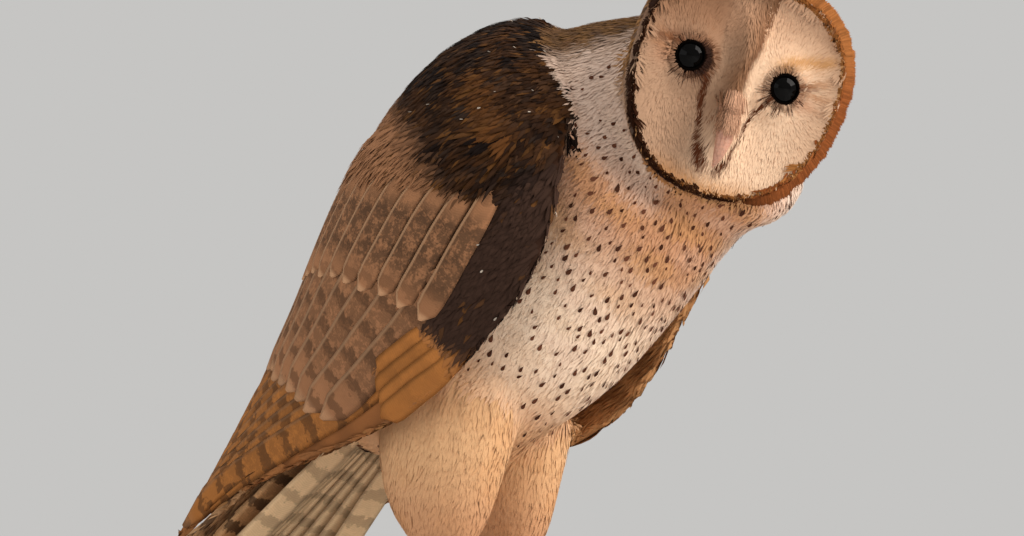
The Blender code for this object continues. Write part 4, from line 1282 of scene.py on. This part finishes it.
sets.append((*vanes(p, turned(d, n, RNG.normal(0, 5, count)), n, lengths, 0.3, 0.2,
                    RNG.uniform(0.3, 1.0, count), 0.12, ROWS_BLADE, SECTION_BLADE, False), style))
coat_piece("lid_and_bill_bristles", sets, FACE, 0.5)

# ---- eyes, bill and claws
eye, bill, claw = Net("eye"), Net("bill"), Net("claw")
eye.set({"Base Color": (0.0015, 0.0013, 0.0012, 1.0), "Roughness": 0.05,
         "Specular IOR Level": 0.07})
streaks = bill.noise(700.0, 4.0)
horn = bill.mix(bill.ramp(streaks, 0.35, 0.75), rgba(lin(196, 146, 122)), rgba(lin(166, 118, 96)))
bill.set({"Base Color": horn, "Roughness": 0.35, "Specular IOR Level": 0.4,
          "Subsurface Weight": 0.15, "Subsurface Radius": (0.003, 0.0012, 0.0008)})
bill.bump(streaks, 0.0002, 0.4)
horn = claw.mix(claw.noise(400.0), rgba(lin(30, 25, 23)), rgba(lin(58, 48, 44)))
claw.set({"Base Color": horn, "Roughness": 0.3})
claw.bump(claw.noise(1200.0), 0.0001, 0.4)
for name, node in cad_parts.items():
    for key, mat in (("eye_", eye.mat), ("bill_", bill.mat), ("claw_", claw.mat)):
        if name.startswith(key):
            for slot in node.material_slots:
                slot.material = mat

# ---- floor, lights and camera
floor = placed("floor", new_mesh(
    "floor", [(-4, -4, 0), (4, -4, 0), (4, 4, 0), (-4, 4, 0)], np.array([[0, 1, 2, 3]])))
ground = Net("floor")
ground.set({"Base Color": (0.72, 0.72, 0.72, 1.0), "Roughness": 0.8})
floor.data.materials.append(ground.mat)
floor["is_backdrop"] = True

world = bpy.data.worlds.new("studio")
world.use_nodes = True
sky = world.node_tree.nodes["Background"].inputs
sky["Color"].default_value = (0.94, 0.93, 0.91, 1.0)
sky["Strength"].default_value = 0.6
bpy.context.scene.world = world
bpy.context.scene.view_settings.view_transform = 'Standard'

AIM, CAMERA_DISTANCE, LENS, SENSOR = Vector((-0.0065, -0.0088, 0.167)), 1.6, 129.4, 36.0
azimuth, elevation, roll = (math.radians(x) for x in (-50.0, -5.0, 5.0))
back = Vector((math.sin(azimuth) * math.cos(elevation), -math.cos(azimuth)
               * math.cos(elevation), math.sin(elevation)))
right = Vector((math.cos(azimuth), math.sin(azimuth), 0.0))
up = back.cross(right)
across = right * math.cos(roll) + up * math.sin(roll)
upward = up * math.cos(roll) - right * math.sin(roll)
camera = placed("camera", bpy.data.cameras.new("camera"))
camera.data.sensor_width, camera.data.lens = SENSOR, LENS
camera.data.clip_start = 0.01
pose = Matrix((across, upward, back)).transposed().to_4x4()
pose.translation = AIM + back * CAMERA_DISTANCE
camera.matrix_world = pose
bpy.context.scene.camera = camera


def light(name, way, distance, size, watts, colour=(1.0, 1.0, 1.0)):
    """Round soft light that looks at the owl from one side."""
    data = bpy.data.lights.new(name, 'AREA')
    data.shape = 'DISK'
    data.size = size
    data.energy = watts
    data.color = colour
    obj = placed(name, data)
    way = Vector(way).normalized()
    obj.location = AIM + way * distance
    obj.rotation_euler = way.to_track_quat('Z', 'Y').to_euler()


light("key", right * 1.0 + back * 0.55 + Vector((0, 0, 0.75)), 1.3, 1.0, 18.0, (1.0, 0.94, 0.88))
light("fill", right * -0.7 + back * 1.0 + Vector((0, 0, 0.3)), 1.6, 1.2, 4.5)
light("top", Vector((0, 0.3, 1.0)), 1.5, 0.8, 4.5)

low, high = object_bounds()
